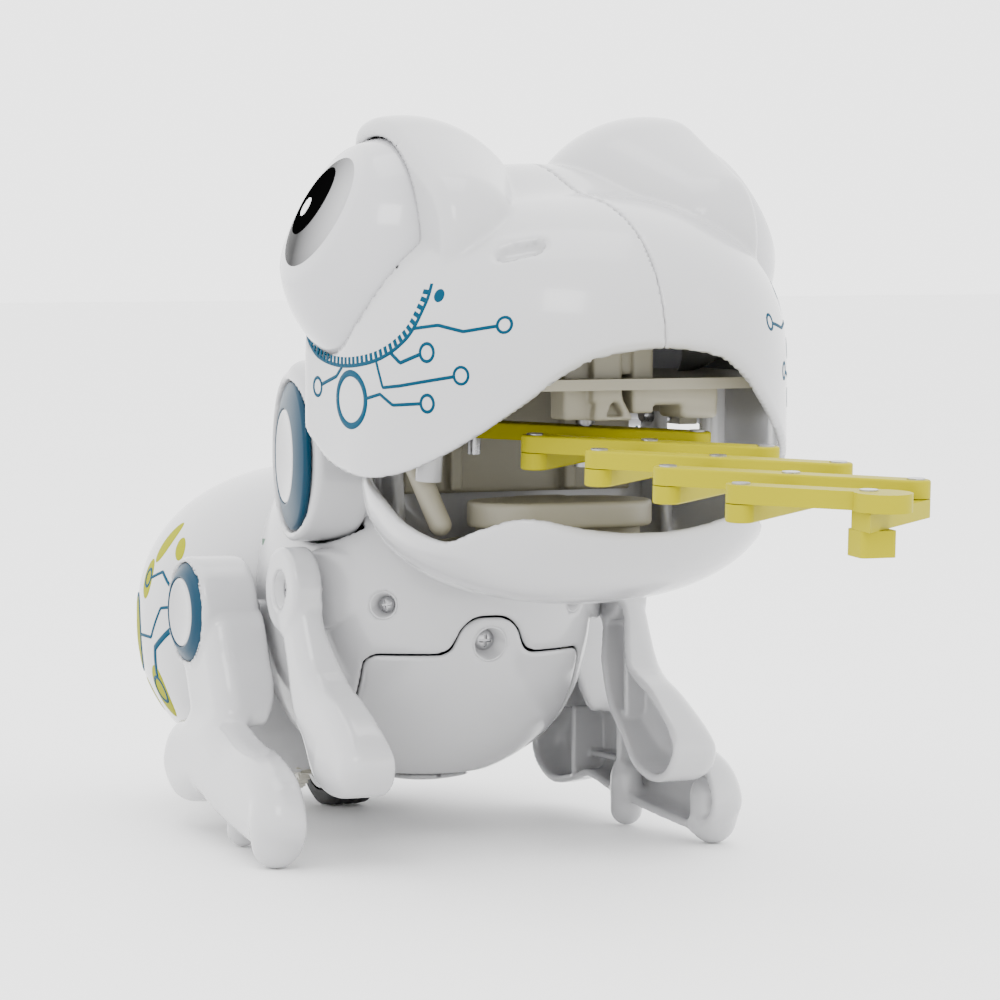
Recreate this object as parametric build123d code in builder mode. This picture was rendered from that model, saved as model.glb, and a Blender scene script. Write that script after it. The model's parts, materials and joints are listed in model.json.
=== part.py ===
"""Toy lizard robot with a scissor tongue, made as an assembly of separate pieces.

Millimetres, +Z up. The robot faces -Y, its right side is at -X, and it stands on z = 0.
Stations below are measured from the middle of the body; save() moves every piece by
ORIGIN_Y so that the finished robot is centred on the origin.
"""

import os
from math import cos, radians, sin

from build123d import *

os.makedirs("parts", exist_ok=True)

# ---- Driving dimensions ----
ORIGIN_Y = 20.0            # from the body datum to the middle of the whole robot
WALL = 2.2                 # moulded shell wall
GAP = 0.4                  # daylight between pieces that move past each other
RUN = 0.06                 # radial clearance of a running fit

HEAD_R = 52.0              # head dome radius
HEAD_Y = -38.0             # dome centre
HEAD_Z = 118.0
HEAD_BACK = 0.0            # rear wall of the head
HEAD_FLOOR = 90.0
LIP = [(-100, 129), (-90, 122), (-80, 110), (-68, 101), (-54, 95.5), (-38, 94), (-20, 96.5), (-7, 102)]

HOOD = (31.0, -20.0, 147.0)     # brow hood centre, left side
HOOD_LENGTH = 42.0              # half length along Y
HOOD_R = 29.0
HOOD_MOUTH = 42.0               # the hood is cut open beyond this |x|

EYE = (36.0, -18.0, 145.0)      # eyeball centre, left side
EYE_TILT = 28.0                 # the eye axis points outwards and this much up
EYE_DEPTH = 22.5                # from its centre to the pole
EYE_R = 27.5                    # radius of the dome
EYE_AXLE_R = 2.5
PUPIL_R = 9.0
PUPIL_OFF = (4.2, 2.4)  # behind and above the eye's axis

NECK_Y = 33.0                   # nod axis
NECK_Z = 95.0
NECK_R = 20.6
NECK_IN = 26.8                  # inner face of each neck drum
NECK_OUT = 42.0                 # outer face
SHAFT_R = 2.5

JAW_R = 46.5                    # jaw bowl radius in plan
JAW_Y = -40.0
JAW_Z = 90.0
JAW_DEPTH = 26.0
JAW_BACK = -4.0
JAW_RIM = [(-92, 80), (-84, 82.5), (-78, 86.5), (-70, 84), (-59, 80.6), (-47, 84), (-36, 90), (-20, 94), (2, 95)]
JAW_PIVOT = (-14.0, 106.0)      # y, z
JAW_EAR_X = 34.0
JAW_PIN_R = 2.0

TORSO_R = 45.0                  # torso in side view
TORSO_HALF = 38.5               # half width, where its sides are flat
TORSO_Y = 50.0
TORSO_Z = 58.0
RUMP_R = 48.3                   # rump in plan
RUMP_HALF = 40.0                # half height, where its top and bottom are flat
RUMP_Y = 110.0
RUMP_Z = 48.0
RUMP_OPENING = 67.0             # the rump shell is open ahead of this y, inside the torso

SHOULDER = (26.0, 63.3)         # y, z
SHOULDER_R = 10.3
ARM_IN = 39.0                   # inner and outer face of the arm, |x|
ARM_OUT = 46.5
ARM_OUTLINE = [
    (19.5, 62.5), (8.0, 44.5), (-6.0, 38.0), (-18.0, 31.0), (-21.8, 26.0), (-18.0, 20.0),
    (-9.0, 17.8), (3.0, 21.0), (12.0, 28.5), (19.0, 32.5), (25.0, 35.5), (26.0, 40.0),
    (23.0, 45.0), (27.0, 53.0), (31.5, 62.0),
]

HIP = (68.0, 55.0)              # y, z
HIP_R = 13.7
HIP_OUT = 56.0
LEG_IN = 41.0
LEG_OUT = 57.5
THIGH_OUTLINE = [(57.5, 46.0), (47.5, 42.0), (44.5, 35.0), (46.0, 28.0), (56.0, 24.0), (62.0, 30.0), (70.0, 42.0)]
FOOT_OUTLINE = [
    (48.0, 30.0), (30.0, 26.5), (12.0, 24.5), (-2.0, 20.0), (-8.0, 12.5), (-6.0, 6.5), (2.0, 4.0),
    (22.0, 5.5), (41.0, 8.0), (56.0, 11.0), (64.0, 9.3), (76.0, 7.6), (85.0, 12.0), (86.5, 19.0),
    (80.0, 26.0), (68.0, 28.5),
]
TOE_NUB = (52.0, 0.5, 5.5)      # x, y and radius of the rounded nub that touches the ground
MID_STUD = (49.0, 39.0, 4.0)
FOOT_SPLAY = 4.0                # the foot turns outwards by this angle
FOOT_PIVOT = (50.0, 68.0)       # about this x, y

WHEEL = (106.0, 16.0)           # y, z of the axle
WHEEL_R = 16.0
WHEEL_W = 12.0
GEAR_TEETH = 36
PINION_TEETH = 12
MODULE = 0.6
GEAR_X = -13.0                  # middle of the gear train
GEAR_W = 3.0

BAR = 53.2                      # tongue bar, pin to pin
BAR_W = 6.2
BAR_T = 3.8
BAR_LAYER = 0.1                 # half the space between the two layers
TONGUE_ANGLE = 41.2             # bars from the lateral direction, at rest
TONGUE_PITCH = 2.85             # the tongue plane slopes down towards the tip
POST_Y = -49.5
POST_Z = 101.3
LEVELS = 4
PIN_R = 1.5

AA_R = 7.25
AA_LENGTH = 50.5
CELL_ORBIT = 23.5               # cells sit on a ring round the torso centre
CELL_ANGLES = [196.0, 233.0, 270.0]


def save(piece, label):
    """Move a finished piece to the robot's own origin and write it."""
    placed = Pos(0, ORIGIN_Y, 0) * piece
    placed.label = label
    export_step(placed, f"parts/{label}.step")


def ball(centre, radius):
    """A solid sphere."""
    with BuildPart() as sphere:
        with Locations(centre):
            Sphere(radius)
    return sphere.part


def capsule(centre, half_length, radius):
    """A round-ended cylinder lying along Y."""
    with BuildPart() as body:
        with BuildSketch(Plane(origin=centre, x_dir=(0, 1, 0), z_dir=(0, 0, 1))):
            SlotOverall(2 * half_length, 2 * radius)
            with Locations((0, -radius)):
                Rectangle(2 * half_length, 2 * radius, mode=Mode.SUBTRACT)
        revolve(axis=Axis(centre, (0, 1, 0)))
    return body.part


def rod(radius, start, end):
    """A plain round rod between two points."""
    line = Vector(*end) - Vector(*start)
    with BuildPart() as bar:
        with BuildSketch(Plane(origin=start, z_dir=line)):
            Circle(radius)
        extrude(amount=line.length)
    return bar.part


def both_sides(piece):
    """The +X piece and its mirror image, right (-X) first."""
    return {"right": mirror(piece, Plane.YZ), "left": piece}


EYE_AXIS = Vector(cos(radians(EYE_TILT)), 0, sin(radians(EYE_TILT)))


def on_eye_axis(distance):
    """A point on the left eye's axis, measured outwards from its centre."""
    return Vector(*EYE) + EYE_AXIS * distance


# ---- Head ----
def head_form(radius, back, floor):
    """The head's closed outline: a quarter dome, a half-round front and an arched rear."""
    with BuildPart() as form:
        with Locations((0, HEAD_Y, HEAD_Z)):
            Sphere(radius, 0, 90, 180, rotation=(0, 0, 180), align=None)
        with BuildSketch(Plane.XY.offset(floor)):
            with Locations((0, HEAD_Y)):
                Circle(radius)
            with Locations((0, HEAD_Y + radius)):
                Rectangle(2 * radius, 2 * radius, mode=Mode.SUBTRACT)
        extrude(amount=HEAD_Z - floor)
        with BuildSketch(Plane.XZ.offset(-back)):
            with Locations((0, HEAD_Z)):
                Circle(radius)
            with Locations((0, HEAD_Z - radius)):
                Rectangle(2 * radius, 2 * radius, mode=Mode.SUBTRACT)
            with Locations((0, (HEAD_Z + floor) / 2)):
                Rectangle(2 * radius, HEAD_Z - floor)
        extrude(amount=back - HEAD_Y)
    return form.part


head_outer = head_form(HEAD_R, HEAD_BACK, HEAD_FLOOR)
head_inner = head_form(HEAD_R - WALL, HEAD_BACK - WALL, HEAD_FLOOR - 5)
hood_outer = capsule(HOOD, HOOD_LENGTH, HOOD_R)
hood_inner = capsule(HOOD, HOOD_LENGTH - WALL, HOOD_R - WALL)
ball_centre = tuple(on_eye_axis(EYE_DEPTH - EYE_R))
eye_clearance = ball(ball_centre, EYE_R + 0.7)

with BuildPart() as hood:
    add(hood_outer)
    add(hood_inner, mode=Mode.SUBTRACT)
    add(head_inner, mode=Mode.SUBTRACT)
    with Locations((HOOD_MOUTH + 50, 0, HOOD[2])):
        Box(100, 200, 100, mode=Mode.SUBTRACT)

with BuildPart() as head_left:
    add(head_outer)
    add(head_inner, mode=Mode.SUBTRACT)
    add(hood_inner, mode=Mode.SUBTRACT)
    add(hood.part)
    with BuildSketch(Plane.YZ.offset(-80)):
        with BuildLine():
            Polyline(LIP[-1], (-3, 104), (30, 104), (30, 60), (-110, 60), (-110, 129), LIP[0])
            Spline(*LIP)
        make_face()
    extrude(amount=160, mode=Mode.SUBTRACT)
    add(eye_clearance, mode=Mode.SUBTRACT)
    with Locations((-100, 0, HEAD_Z)):
        Box(200, 400, 200, mode=Mode.SUBTRACT)
for side, shell in both_sides(head_left.part).items():
    save(shell, f"head_shell_{side}")

# ---- Eyes: a dome on an axle that turns in the crossbar's bearing ----
with BuildPart() as eyeball:
    add(ball(ball_centre, EYE_R))
    add(ball(ball_centre, EYE_R - 2), mode=Mode.SUBTRACT)
    split(bisect_by=Plane(origin=on_eye_axis(-4), z_dir=EYE_AXIS), keep=Keep.TOP)
    add(rod(EYE_AXLE_R, on_eye_axis(-20), on_eye_axis(21.2)))
with BuildPart() as pupil:
    pupil_shift = Vector(0, PUPIL_OFF[0], 0) + EYE_AXIS.cross(Vector(0, 1, 0)) * PUPIL_OFF[1]
    add(rod(PUPIL_R, on_eye_axis(5) + pupil_shift, on_eye_axis(40) + pupil_shift))
    add(ball(ball_centre, EYE_R + 0.4), mode=Mode.INTERSECT)
    add(ball(ball_centre, EYE_R), mode=Mode.SUBTRACT)
for side, dome in both_sides(eyeball.part).items():
    save(dome, f"eyeball_{side}")
for side, disc in both_sides(pupil.part).items():
    save(disc, f"pupil_{side}")

# ---- Mouth frame, the roof of the mouth: plate, jaw ears, tongue post socket and ribs ----
tongue_plane = Plane(
    origin=(0, POST_Y, POST_Z),
    x_dir=(1, 0, 0),
    z_dir=(0, -sin(radians(TONGUE_PITCH)), cos(radians(TONGUE_PITCH))),
)
with BuildPart() as mouth_frame:
    with BuildSketch(Plane.XY.offset(114)):
        with Locations((0, HEAD_Y)):
            Circle(HEAD_R - WALL - 0.05)
        with Locations((0, -20)):
            Rectangle(2 * (HEAD_R - WALL - 0.05), 35.4)
        with Locations((0, -100), (0, 27.7)):
            Rectangle(120, 60, mode=Mode.SUBTRACT)
    extrude(amount=2.5)
    with Locations((0, POST_Y, 111)):
        Cylinder(6, 7)
    with Locations((-24, -44, 111), (26, -46, 111)):
        Box(3, 26, 7)
    with Locations((-40, JAW_PIVOT[0], 109), (40, JAW_PIVOT[0], 109)):
        Box(4.5, 12, 11)
    with BuildSketch(Plane.YZ.offset(-60)):
        with Locations(JAW_PIVOT):
            Circle(JAW_PIN_R)
    extrude(amount=120, mode=Mode.SUBTRACT)
    add(rod(2.2, tongue_plane.from_local_coords((0, 0, -5)), tongue_plane.from_local_coords((0, 0, 12))),
        mode=Mode.SUBTRACT)
save(mouth_frame.part, "mouth_frame")

with BuildPart() as tongue_post:
    add(rod(2.2, tongue_plane.from_local_coords((0, 0, BAR_T + 0.6)), tongue_plane.from_local_coords((0, 0, 11))))
    add(rod(PIN_R, tongue_plane.from_local_coords((0, 0, -BAR_T - 1.6)), tongue_plane.from_local_coords((0, 0, 11))))
    add(rod(2.4, tongue_plane.from_local_coords((0, 0, -BAR_T - 1.6)),
            tongue_plane.from_local_coords((0, 0, -BAR_T - 0.5))))
save(tongue_post.part, "tongue_post")

with BuildPart() as eye_crossbar:
    with Locations((0, EYE[1], 134)):
        Box(26, 9, 6)
    with Locations((0, EYE[1], 126)):
        Box(8, 9, 18.9)
    for end in both_sides(rod(5.2, on_eye_axis(-26), on_eye_axis(-10))).values():
        add(end)
    for bore in both_sides(rod(EYE_AXLE_R + RUN, on_eye_axis(-21), on_eye_axis(0))).values():
        add(bore, mode=Mode.SUBTRACT)
save(eye_crossbar.part, "eye_crossbar")

with BuildPart() as tongue_motor:
    with Locations((0, -22, 123)):
        Box(20, 15, 12.8)
    with Locations((0, -33, 123)):
        Cylinder(2, 7, rotation=(90, 0, 0))
tongue_motor_body = Pos(0, -12, 0) * tongue_motor.part
save(tongue_motor_body, "tongue_motor")

# ---- Neck: two drums on the head turn on a shaft held in the torso collar ----
with BuildPart() as neck_drum:
    with BuildSketch(Plane.YZ.offset(NECK_IN)):
        with Locations((NECK_Y, NECK_Z)):
            Circle(NECK_R)
    extrude(amount=NECK_OUT - NECK_IN)
    with BuildSketch(Plane.YZ.offset(28)):
        with Locations((NECK_Y / 2 + 0.1, 110)):
            Rectangle(NECK_Y, 15.6)
    extrude(amount=12)
    with BuildSketch(Plane.YZ.offset(NECK_OUT - 3.0)):
        with Locations((NECK_Y, NECK_Z)):
            Circle(NECK_R - 2.2)
    extrude(amount=3.0, mode=Mode.SUBTRACT)
    add(rod(SHAFT_R + RUN, (NECK_IN - 1, NECK_Y, NECK_Z), (NECK_OUT + 1, NECK_Y, NECK_Z)), mode=Mode.SUBTRACT)
for side, drum in both_sides(neck_drum.part).items():
    save(drum, f"neck_drum_{side}")

with BuildPart() as neck_cap:
    with BuildSketch(Plane.YZ.offset(NECK_OUT - 3.0)):
        with Locations((NECK_Y, NECK_Z)):
            Circle(NECK_R - 2.3)
    extrude(amount=3.3)
    with BuildSketch(Plane.YZ.offset(NECK_OUT - 1.2)):
        with Locations((NECK_Y, NECK_Z)):
            Circle(NECK_R - 9)
    extrude(amount=2, mode=Mode.SUBTRACT)
for side, cap in both_sides(neck_cap.part).items():
    save(cap, f"neck_cap_{side}")

save(rod(SHAFT_R, (-NECK_OUT + 3.6, NECK_Y, NECK_Z), (NECK_OUT - 3.6, NECK_Y, NECK_Z)), "neck_shaft")

# ---- Jaw ----
jaw_curve = (JAW_R**2 + JAW_DEPTH**2) / (2 * JAW_DEPTH)
with BuildPart() as jaw_shell:
    with BuildSketch(Plane(origin=(0, JAW_Y, JAW_Z), x_dir=(1, 0, 0), z_dir=(0, -1, 0))):
        with Locations((0, jaw_curve - JAW_DEPTH)):
            Circle(jaw_curve)
            Circle(jaw_curve - WALL, mode=Mode.SUBTRACT)
        with Locations((-jaw_curve, 0)):
            Rectangle(2 * jaw_curve, 4 * jaw_curve, mode=Mode.SUBTRACT)
        with Locations((jaw_curve, 2 * jaw_curve)):
            Rectangle(2 * jaw_curve, 4 * jaw_curve, mode=Mode.SUBTRACT)
        with Locations((JAW_R - WALL / 2, 7)):
            Rectangle(WALL, 14)
    revolve(axis=Axis((0, JAW_Y, 0), (0, 0, 1)))
    with BuildSketch(Plane.YZ.offset(-60)):
        with BuildLine():
            Spline(*JAW_RIM)
            Polyline(JAW_RIM[-1], (20, 95), (20, 140), (-120, 140), (-120, 80), JAW_RIM[0])
        make_face()
    extrude(amount=120, mode=Mode.SUBTRACT)
    with Locations((0, JAW_BACK + 50, JAW_Z)):
        Box(200, 100, 100, mode=Mode.SUBTRACT)
    for side in (-1, 1):
        with BuildSketch(Plane.YZ.offset(side * JAW_EAR_X - 1.5)):
            with Locations(JAW_PIVOT):
                Circle(5)
            with Locations((JAW_PIVOT[0], 97)):
                Rectangle(10, 18)
        extrude(amount=3)
    with BuildSketch(Plane.YZ.offset(-60)):
        with Locations(JAW_PIVOT):
            Circle(JAW_PIN_R + RUN)
    extrude(amount=120, mode=Mode.SUBTRACT)
save(jaw_shell.part, "jaw_shell")

with BuildPart() as jaw_tray:
    with BuildSketch(Plane.XY.offset(76)):
        with Locations((0, JAW_Y)):
            Circle(30)
        with Locations((0, 0)):
            Rectangle(100, 2 * 10, mode=Mode.SUBTRACT)
    extrude(amount=2)
    with BuildSketch(Plane.XY.offset(78)):
        with Locations((0, -34)):
            RectangleRounded(34, 30, 8)
    extrude(amount=6)
save(jaw_tray.part, "jaw_tray")

jaw_pin = rod(JAW_PIN_R, (JAW_EAR_X - 3.5, *JAW_PIVOT), (42.2, *JAW_PIVOT))
save(Compound(children=list(both_sides(jaw_pin).values())), "jaw_pins")

corner_rod = rod(3.0, (35.0, -44.0, 113.65), (35.5, -42.0, 93.0))
save(Compound(children=list(both_sides(corner_rod).values())), "mouth_corner_rods")


# ---- Tongue: two layers of crossed bars ----
half_width = BAR / 2 * cos(radians(TONGUE_ANGLE))
level_step = BAR * sin(radians(TONGUE_ANGLE))


def joint_place(side, level):
    """Local (x, y) of a pin at a level; side is -1 for the robot's right, 1 for its left."""
    return (side * half_width, level_step * (0.5 - level))


def bar_middle(level):
    """Local (x, y) where the bars between two levels cross."""
    return (0, -level_step * level)


def tongue_bar(level, side, layer, bores):
    """One bar from the pin at (side, level) to the far pin of the next level."""
    low = BAR_LAYER if layer > 0 else -BAR_LAYER - BAR_T
    with BuildPart() as bar:
        with BuildSketch(tongue_plane.offset(low)):
            with Locations(Location((0, -level_step * level), side * TONGUE_ANGLE)):
                SlotCenterToCenter(BAR, BAR_W)
        extrude(amount=BAR_T)
        fillet(bar.edges().group_by(Axis(tongue_plane.origin, tongue_plane.z_dir))[-1 if layer > 0 else 0], 0.5)
        for place, radius in bores:
            with BuildSketch(tongue_plane.offset(low - 1)):
                with Locations(place):
                    Circle(radius)
            extrude(amount=BAR_T + 2, mode=Mode.SUBTRACT)
    return bar.part


def tongue_pins(places):
    """Steel pins with thin heads, pressed in an upper bar and running in the lower ones."""
    with BuildPart() as pins:
        with BuildSketch(tongue_plane.offset(-BAR_LAYER - BAR_T)):
            with Locations(*places):
                Circle(PIN_R)
        extrude(amount=2 * BAR_T + 2 * BAR_LAYER)
        with BuildSketch(tongue_plane.offset(BAR_LAYER + BAR_T)):
            with Locations(*places):
                Circle(1.9)
        extrude(amount=0.3)
    return pins.part


RIGHT = -1
LEFT = 1
running = PIN_R + RUN
loose = PIN_R + 0.35
for level in range(LEVELS):
    upper_bores = [(joint_place(RIGHT, level), PIN_R), (joint_place(LEFT, level + 1), PIN_R)]
    lower_bores = [(joint_place(LEFT, level), running), (joint_place(RIGHT, level + 1), running)]
    middle = bar_middle(level)
    pin_places = [joint_place(RIGHT, level), joint_place(LEFT, level + 1)]
    if level == 0:
        upper_bores.append((middle, running))
        lower_bores.append((middle, running))
    else:
        upper_bores.append((middle, PIN_R))
        lower_bores.append((middle, loose))
        pin_places.append(middle)
    save(tongue_bar(level, RIGHT, 1, upper_bores), f"tongue_bar_upper_{level}")
    save(tongue_bar(level, LEFT, -1, lower_bores), f"tongue_bar_lower_{level}")
    save(tongue_pins(pin_places), f"tongue_pins_{level}")

# Tip: two half bars that meet over the magnet block.
tip_x, tip_y = bar_middle(LEVELS)
with BuildPart() as tip_upper:
    with BuildSketch(tongue_plane.offset(BAR_LAYER)):
        with Locations(Location((0, tip_y), RIGHT * TONGUE_ANGLE)):
            SlotCenterToCenter(BAR, BAR_W)
        with Locations((half_width, tip_y - 10)):
            Rectangle(2 * half_width, 60, mode=Mode.SUBTRACT)
        with Locations((tip_x + 1.5, tip_y - 3.5)):
            Circle(6.0)
    extrude(amount=BAR_T)
    for place, radius in ((joint_place(RIGHT, LEVELS), running), ((tip_x, tip_y), running)):
        with BuildSketch(tongue_plane.offset(0)):
            with Locations(place):
                Circle(radius)
        extrude(amount=10, mode=Mode.SUBTRACT)
save(tip_upper.part, "tongue_tip_upper")

with BuildPart() as tip_lower:
    with BuildSketch(tongue_plane.offset(-BAR_LAYER - BAR_T)):
        with Locations(Location((0, tip_y), LEFT * TONGUE_ANGLE)):
            SlotCenterToCenter(BAR, BAR_W)
        with Locations((-half_width - 3.0, tip_y - 10)):
            Rectangle(2 * half_width, 60, mode=Mode.SUBTRACT)
    extrude(amount=BAR_T)
    for place, radius in ((joint_place(LEFT, LEVELS), running), ((tip_x, tip_y), loose)):
        with BuildSketch(tongue_plane.offset(-10)):
            with Locations(place):
                Circle(radius)
        extrude(amount=12, mode=Mode.SUBTRACT)
save(tip_lower.part, "tongue_tip_lower")

with BuildPart() as tip_block:
    with BuildSketch(tongue_plane.offset(-BAR_LAYER - BAR_T - 5.5)):
        with Locations((tip_x + 1.0, tip_y)):
            RectangleRounded(8, 7, 1)
    extrude(amount=5.45)
save(tip_block.part, "tongue_tip_block")
save(tongue_pins([joint_place(RIGHT, LEVELS), (tip_x, tip_y)]), "tongue_pins_tip")

# ---- Body shells ----


def torso_form(inset):
    """The torso's closed form, inset by a wall or not at all."""
    centre = (0, TORSO_Y, TORSO_Z)
    with BuildPart() as form:
        with BuildSketch(Plane(origin=centre, x_dir=(1, 0, 0), z_dir=(0, 0, 1))):
            Circle(TORSO_R - inset)
            with Locations((0, TORSO_R)):
                Rectangle(2 * (TORSO_HALF - inset), 2 * TORSO_R, mode=Mode.INTERSECT)
        revolve(axis=Axis(centre, (1, 0, 0)))
    return form.part


def rump_form(inset):
    """The rump's closed form, inset by a wall or not at all."""
    centre = (0, RUMP_Y, RUMP_Z)
    with BuildPart() as form:
        with BuildSketch(Plane(origin=centre, x_dir=(0, 1, 0), z_dir=(1, 0, 0))):
            Circle(RUMP_R - inset)
            with Locations((RUMP_R, 0)):
                Rectangle(2 * RUMP_R, 2 * (RUMP_HALF - inset), mode=Mode.INTERSECT)
        revolve(axis=Axis(centre, (0, 0, 1)))
    return form.part


torso_outer = torso_form(0)
torso_inner = torso_form(WALL)
rump_outer = rump_form(0)
rump_inner = rump_form(WALL)

DOOR_HALF = 28.0
DOOR_TOP = 50.0
DOOR_BOTTOM = 17.5
with BuildPart() as drum_clearance:
    for side in (-1, 1):
        with BuildSketch(Plane.YZ.offset(side * (NECK_IN + 15) - 15.4)):
            with Locations((NECK_Y, NECK_Z)):
                Circle(NECK_R + 0.6)
        extrude(amount=30.8)

with BuildPart() as neck_collar:
    with BuildSketch(Plane.YZ.offset(-NECK_IN + GAP)):
        with Locations((NECK_Y, NECK_Z)):
            Circle(NECK_R - 2)
    extrude(amount=2 * (NECK_IN - GAP))
    with BuildSketch(Plane.YZ.offset(-NECK_IN + GAP + WALL)):
        with Locations((NECK_Y, NECK_Z)):
            Circle(NECK_R - 2 - WALL)
    extrude(amount=2 * (NECK_IN - GAP - WALL), mode=Mode.SUBTRACT)
    add(ball((0, TORSO_Y, TORSO_Z), TORSO_R + 0.02), mode=Mode.SUBTRACT)
    with BuildSketch(Plane.YZ.offset(-60)):
        with Locations((NECK_Y, NECK_Z)):
            Circle(SHAFT_R)
    extrude(amount=120, mode=Mode.SUBTRACT)
save(neck_collar.part, "neck_collar")

with BuildPart() as torso_shell:
    add(torso_outer)
    add(torso_inner, mode=Mode.SUBTRACT)
    add(drum_clearance.part, mode=Mode.SUBTRACT)
    add(rump_outer, mode=Mode.SUBTRACT)
    for side in (-1, 1):
        with BuildSketch(Plane.YZ.offset(side * 33.6 - 3)):
            with Locations(SHOULDER):
                Circle(SHOULDER_R - 0.6)
        extrude(amount=6)
        with BuildSketch(Plane.YZ.offset(side * 37.4 - 3)):
            with Locations(HIP):
                Circle(7)
        extrude(amount=6)
    with BuildSketch(Plane.YZ.offset(-60)):
        with Locations((NECK_Y, NECK_Z)):
            Circle(SHAFT_R)
        with Locations(SHOULDER):
            Circle(2.0)
        with Locations(HIP):
            Circle(2.5)
    extrude(amount=120, mode=Mode.SUBTRACT)
    with Locations((0, 0, (DOOR_TOP + DOOR_BOTTOM) / 2)):
        Box(2 * DOOR_HALF, 2 * 40, DOOR_TOP - DOOR_BOTTOM, mode=Mode.SUBTRACT)
save(torso_shell.part, "torso_shell")

with BuildPart() as battery_door:
    add(torso_outer)
    add(torso_inner, mode=Mode.SUBTRACT)
    with Locations((0, 0, (DOOR_TOP + DOOR_BOTTOM) / 2)):
        Box(2 * DOOR_HALF - 0.4, 2 * 39.8, DOOR_TOP - DOOR_BOTTOM - 0.4, mode=Mode.INTERSECT)
    with BuildSketch(Plane.XZ.offset(10)):
        with Locations((0, DOOR_TOP + 3)):
            Circle(1.5)
    extrude(amount=-60, mode=Mode.SUBTRACT)
save(battery_door.part, "battery_door")

with BuildPart() as rump_shell:
    add(rump_outer)
    add(rump_inner, mode=Mode.SUBTRACT)
    with Locations((0, RUMP_OPENING - 50, RUMP_Z)):
        Box(200, 100, 200, mode=Mode.SUBTRACT)
    with Locations((0, WHEEL[0], 10)):
        Box(32, 2 * WHEEL_R + 6, 24, mode=Mode.SUBTRACT)
    with Locations((0, 157, 40)):
        Box(12, 20, 6, mode=Mode.SUBTRACT)
save(rump_shell.part, "rump_shell")

# ---- Arms and legs: open on their inner side ----
def hollow_limb(outline, near, far):
    """A limb with a (y, z) outline between two |x| stations, hollowed from its inner side."""
    with BuildPart() as limb:
        with BuildSketch(Plane.YZ.offset(near)):
            with BuildLine():
                Polyline(*outline, close=True)
            make_face()
        extrude(amount=far - near)
        with BuildSketch(Plane.YZ.offset(near)):
            with BuildLine():
                Polyline(*outline, close=True)
            make_face()
            offset(amount=-1.8, mode=Mode.REPLACE)
        extrude(amount=far - near - 2.2, mode=Mode.SUBTRACT)
    return limb.part


with BuildPart() as arm:
    add(hollow_limb(ARM_OUTLINE, ARM_IN, ARM_OUT))
    with BuildSketch(Plane.YZ.offset(ARM_IN)):
        with Locations(SHOULDER):
            Circle(SHOULDER_R)
    extrude(amount=ARM_OUT - ARM_IN)
    with BuildSketch(Plane.YZ.offset(ARM_OUT - 4)):
        with Locations(SHOULDER):
            Circle(5)
    extrude(amount=5, mode=Mode.SUBTRACT)
    add(rod(2.0 + RUN, (ARM_IN - 1, *SHOULDER), (ARM_OUT, *SHOULDER)), mode=Mode.SUBTRACT)
for side, limb in both_sides(arm.part).items():
    save(limb, f"arm_{side}")

with BuildPart() as foot:
    add(hollow_limb(FOOT_OUTLINE, LEG_IN + 6, LEG_OUT))
    with BuildSketch(Plane.YZ.offset(LEG_IN + 6)):
        with Locations((40, 17)):
            Rectangle(1.6, 17)
        with Locations((64, 17)):
            Rectangle(1.6, 12)
    extrude(amount=LEG_OUT - LEG_IN - 6)
    for x, y, radius in (TOE_NUB, MID_STUD):
        with BuildSketch(Plane.XY):
            with Locations((x, y)):
                Circle(radius)
        extrude(amount=8)
splay = Pos(*FOOT_PIVOT, 0) * Rot(0, 0, FOOT_SPLAY) * Pos(-FOOT_PIVOT[0], -FOOT_PIVOT[1], 0)

with BuildPart() as leg:
    add(splay * foot.part)
    add(hollow_limb(THIGH_OUTLINE, LEG_IN, LEG_OUT - 4))
    with BuildSketch(Plane.YZ.offset(LEG_IN)):
        with Locations(HIP):
            Circle(HIP_R)
    extrude(amount=HIP_OUT - LEG_IN)
    with BuildSketch(Plane.YZ.offset(HIP_OUT - 2.5)):
        with Locations(HIP):
            Circle(HIP_R - 1.4)
    extrude(amount=5, mode=Mode.SUBTRACT)
    add(rod(2.5 + RUN, (LEG_IN - 1, *HIP), (HIP_OUT, *HIP)), mode=Mode.SUBTRACT)
for side, limb in both_sides(leg.part).items():
    save(limb, f"leg_{side}")

with BuildPart() as hip_cap:
    with BuildSketch(Plane.YZ.offset(HIP_OUT - 2.5)):
        with Locations(HIP):
            Circle(HIP_R - 1.5)
    extrude(amount=2.9)
    with BuildSketch(Plane.YZ.offset(HIP_OUT - 1.0)):
        with Locations(HIP):
            Circle(8.6)
    extrude(amount=2, mode=Mode.SUBTRACT)
for side, cap in both_sides(hip_cap.part).items():
    save(cap, f"hip_cap_{side}")


def fasteners(places, label):
    """A group of identical screws: (start, end, shank radius, head radius, head height)."""
    solids = []
    for start, end, shank, head, height in places:
        way = (Vector(*end) - Vector(*start)).normalized()
        screw = rod(shank, start, end) + rod(head, Vector(*end), Vector(*end) + way * height)
        slot_plane = Plane(origin=Vector(*end) + way * height, z_dir=way)
        cross = extrude(slot_plane * (Rectangle(head * 1.2, 0.8) + Rectangle(0.8, head * 1.2)), amount=-0.8)
        solids.append(screw - cross)
    save(Compound(children=solids), label)


fasteners([((s * 32, *SHOULDER), (s * (ARM_OUT - 3.9), *SHOULDER), 2.0, 3.0, 1.6) for s in (-1, 1)],
          "shoulder_screws")
fasteners([((s * 34.5, *HIP), (s * (HIP_OUT - 4.9), *HIP), 2.5, 2.5, 2.0) for s in (-1, 1)], "hip_pins")

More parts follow.
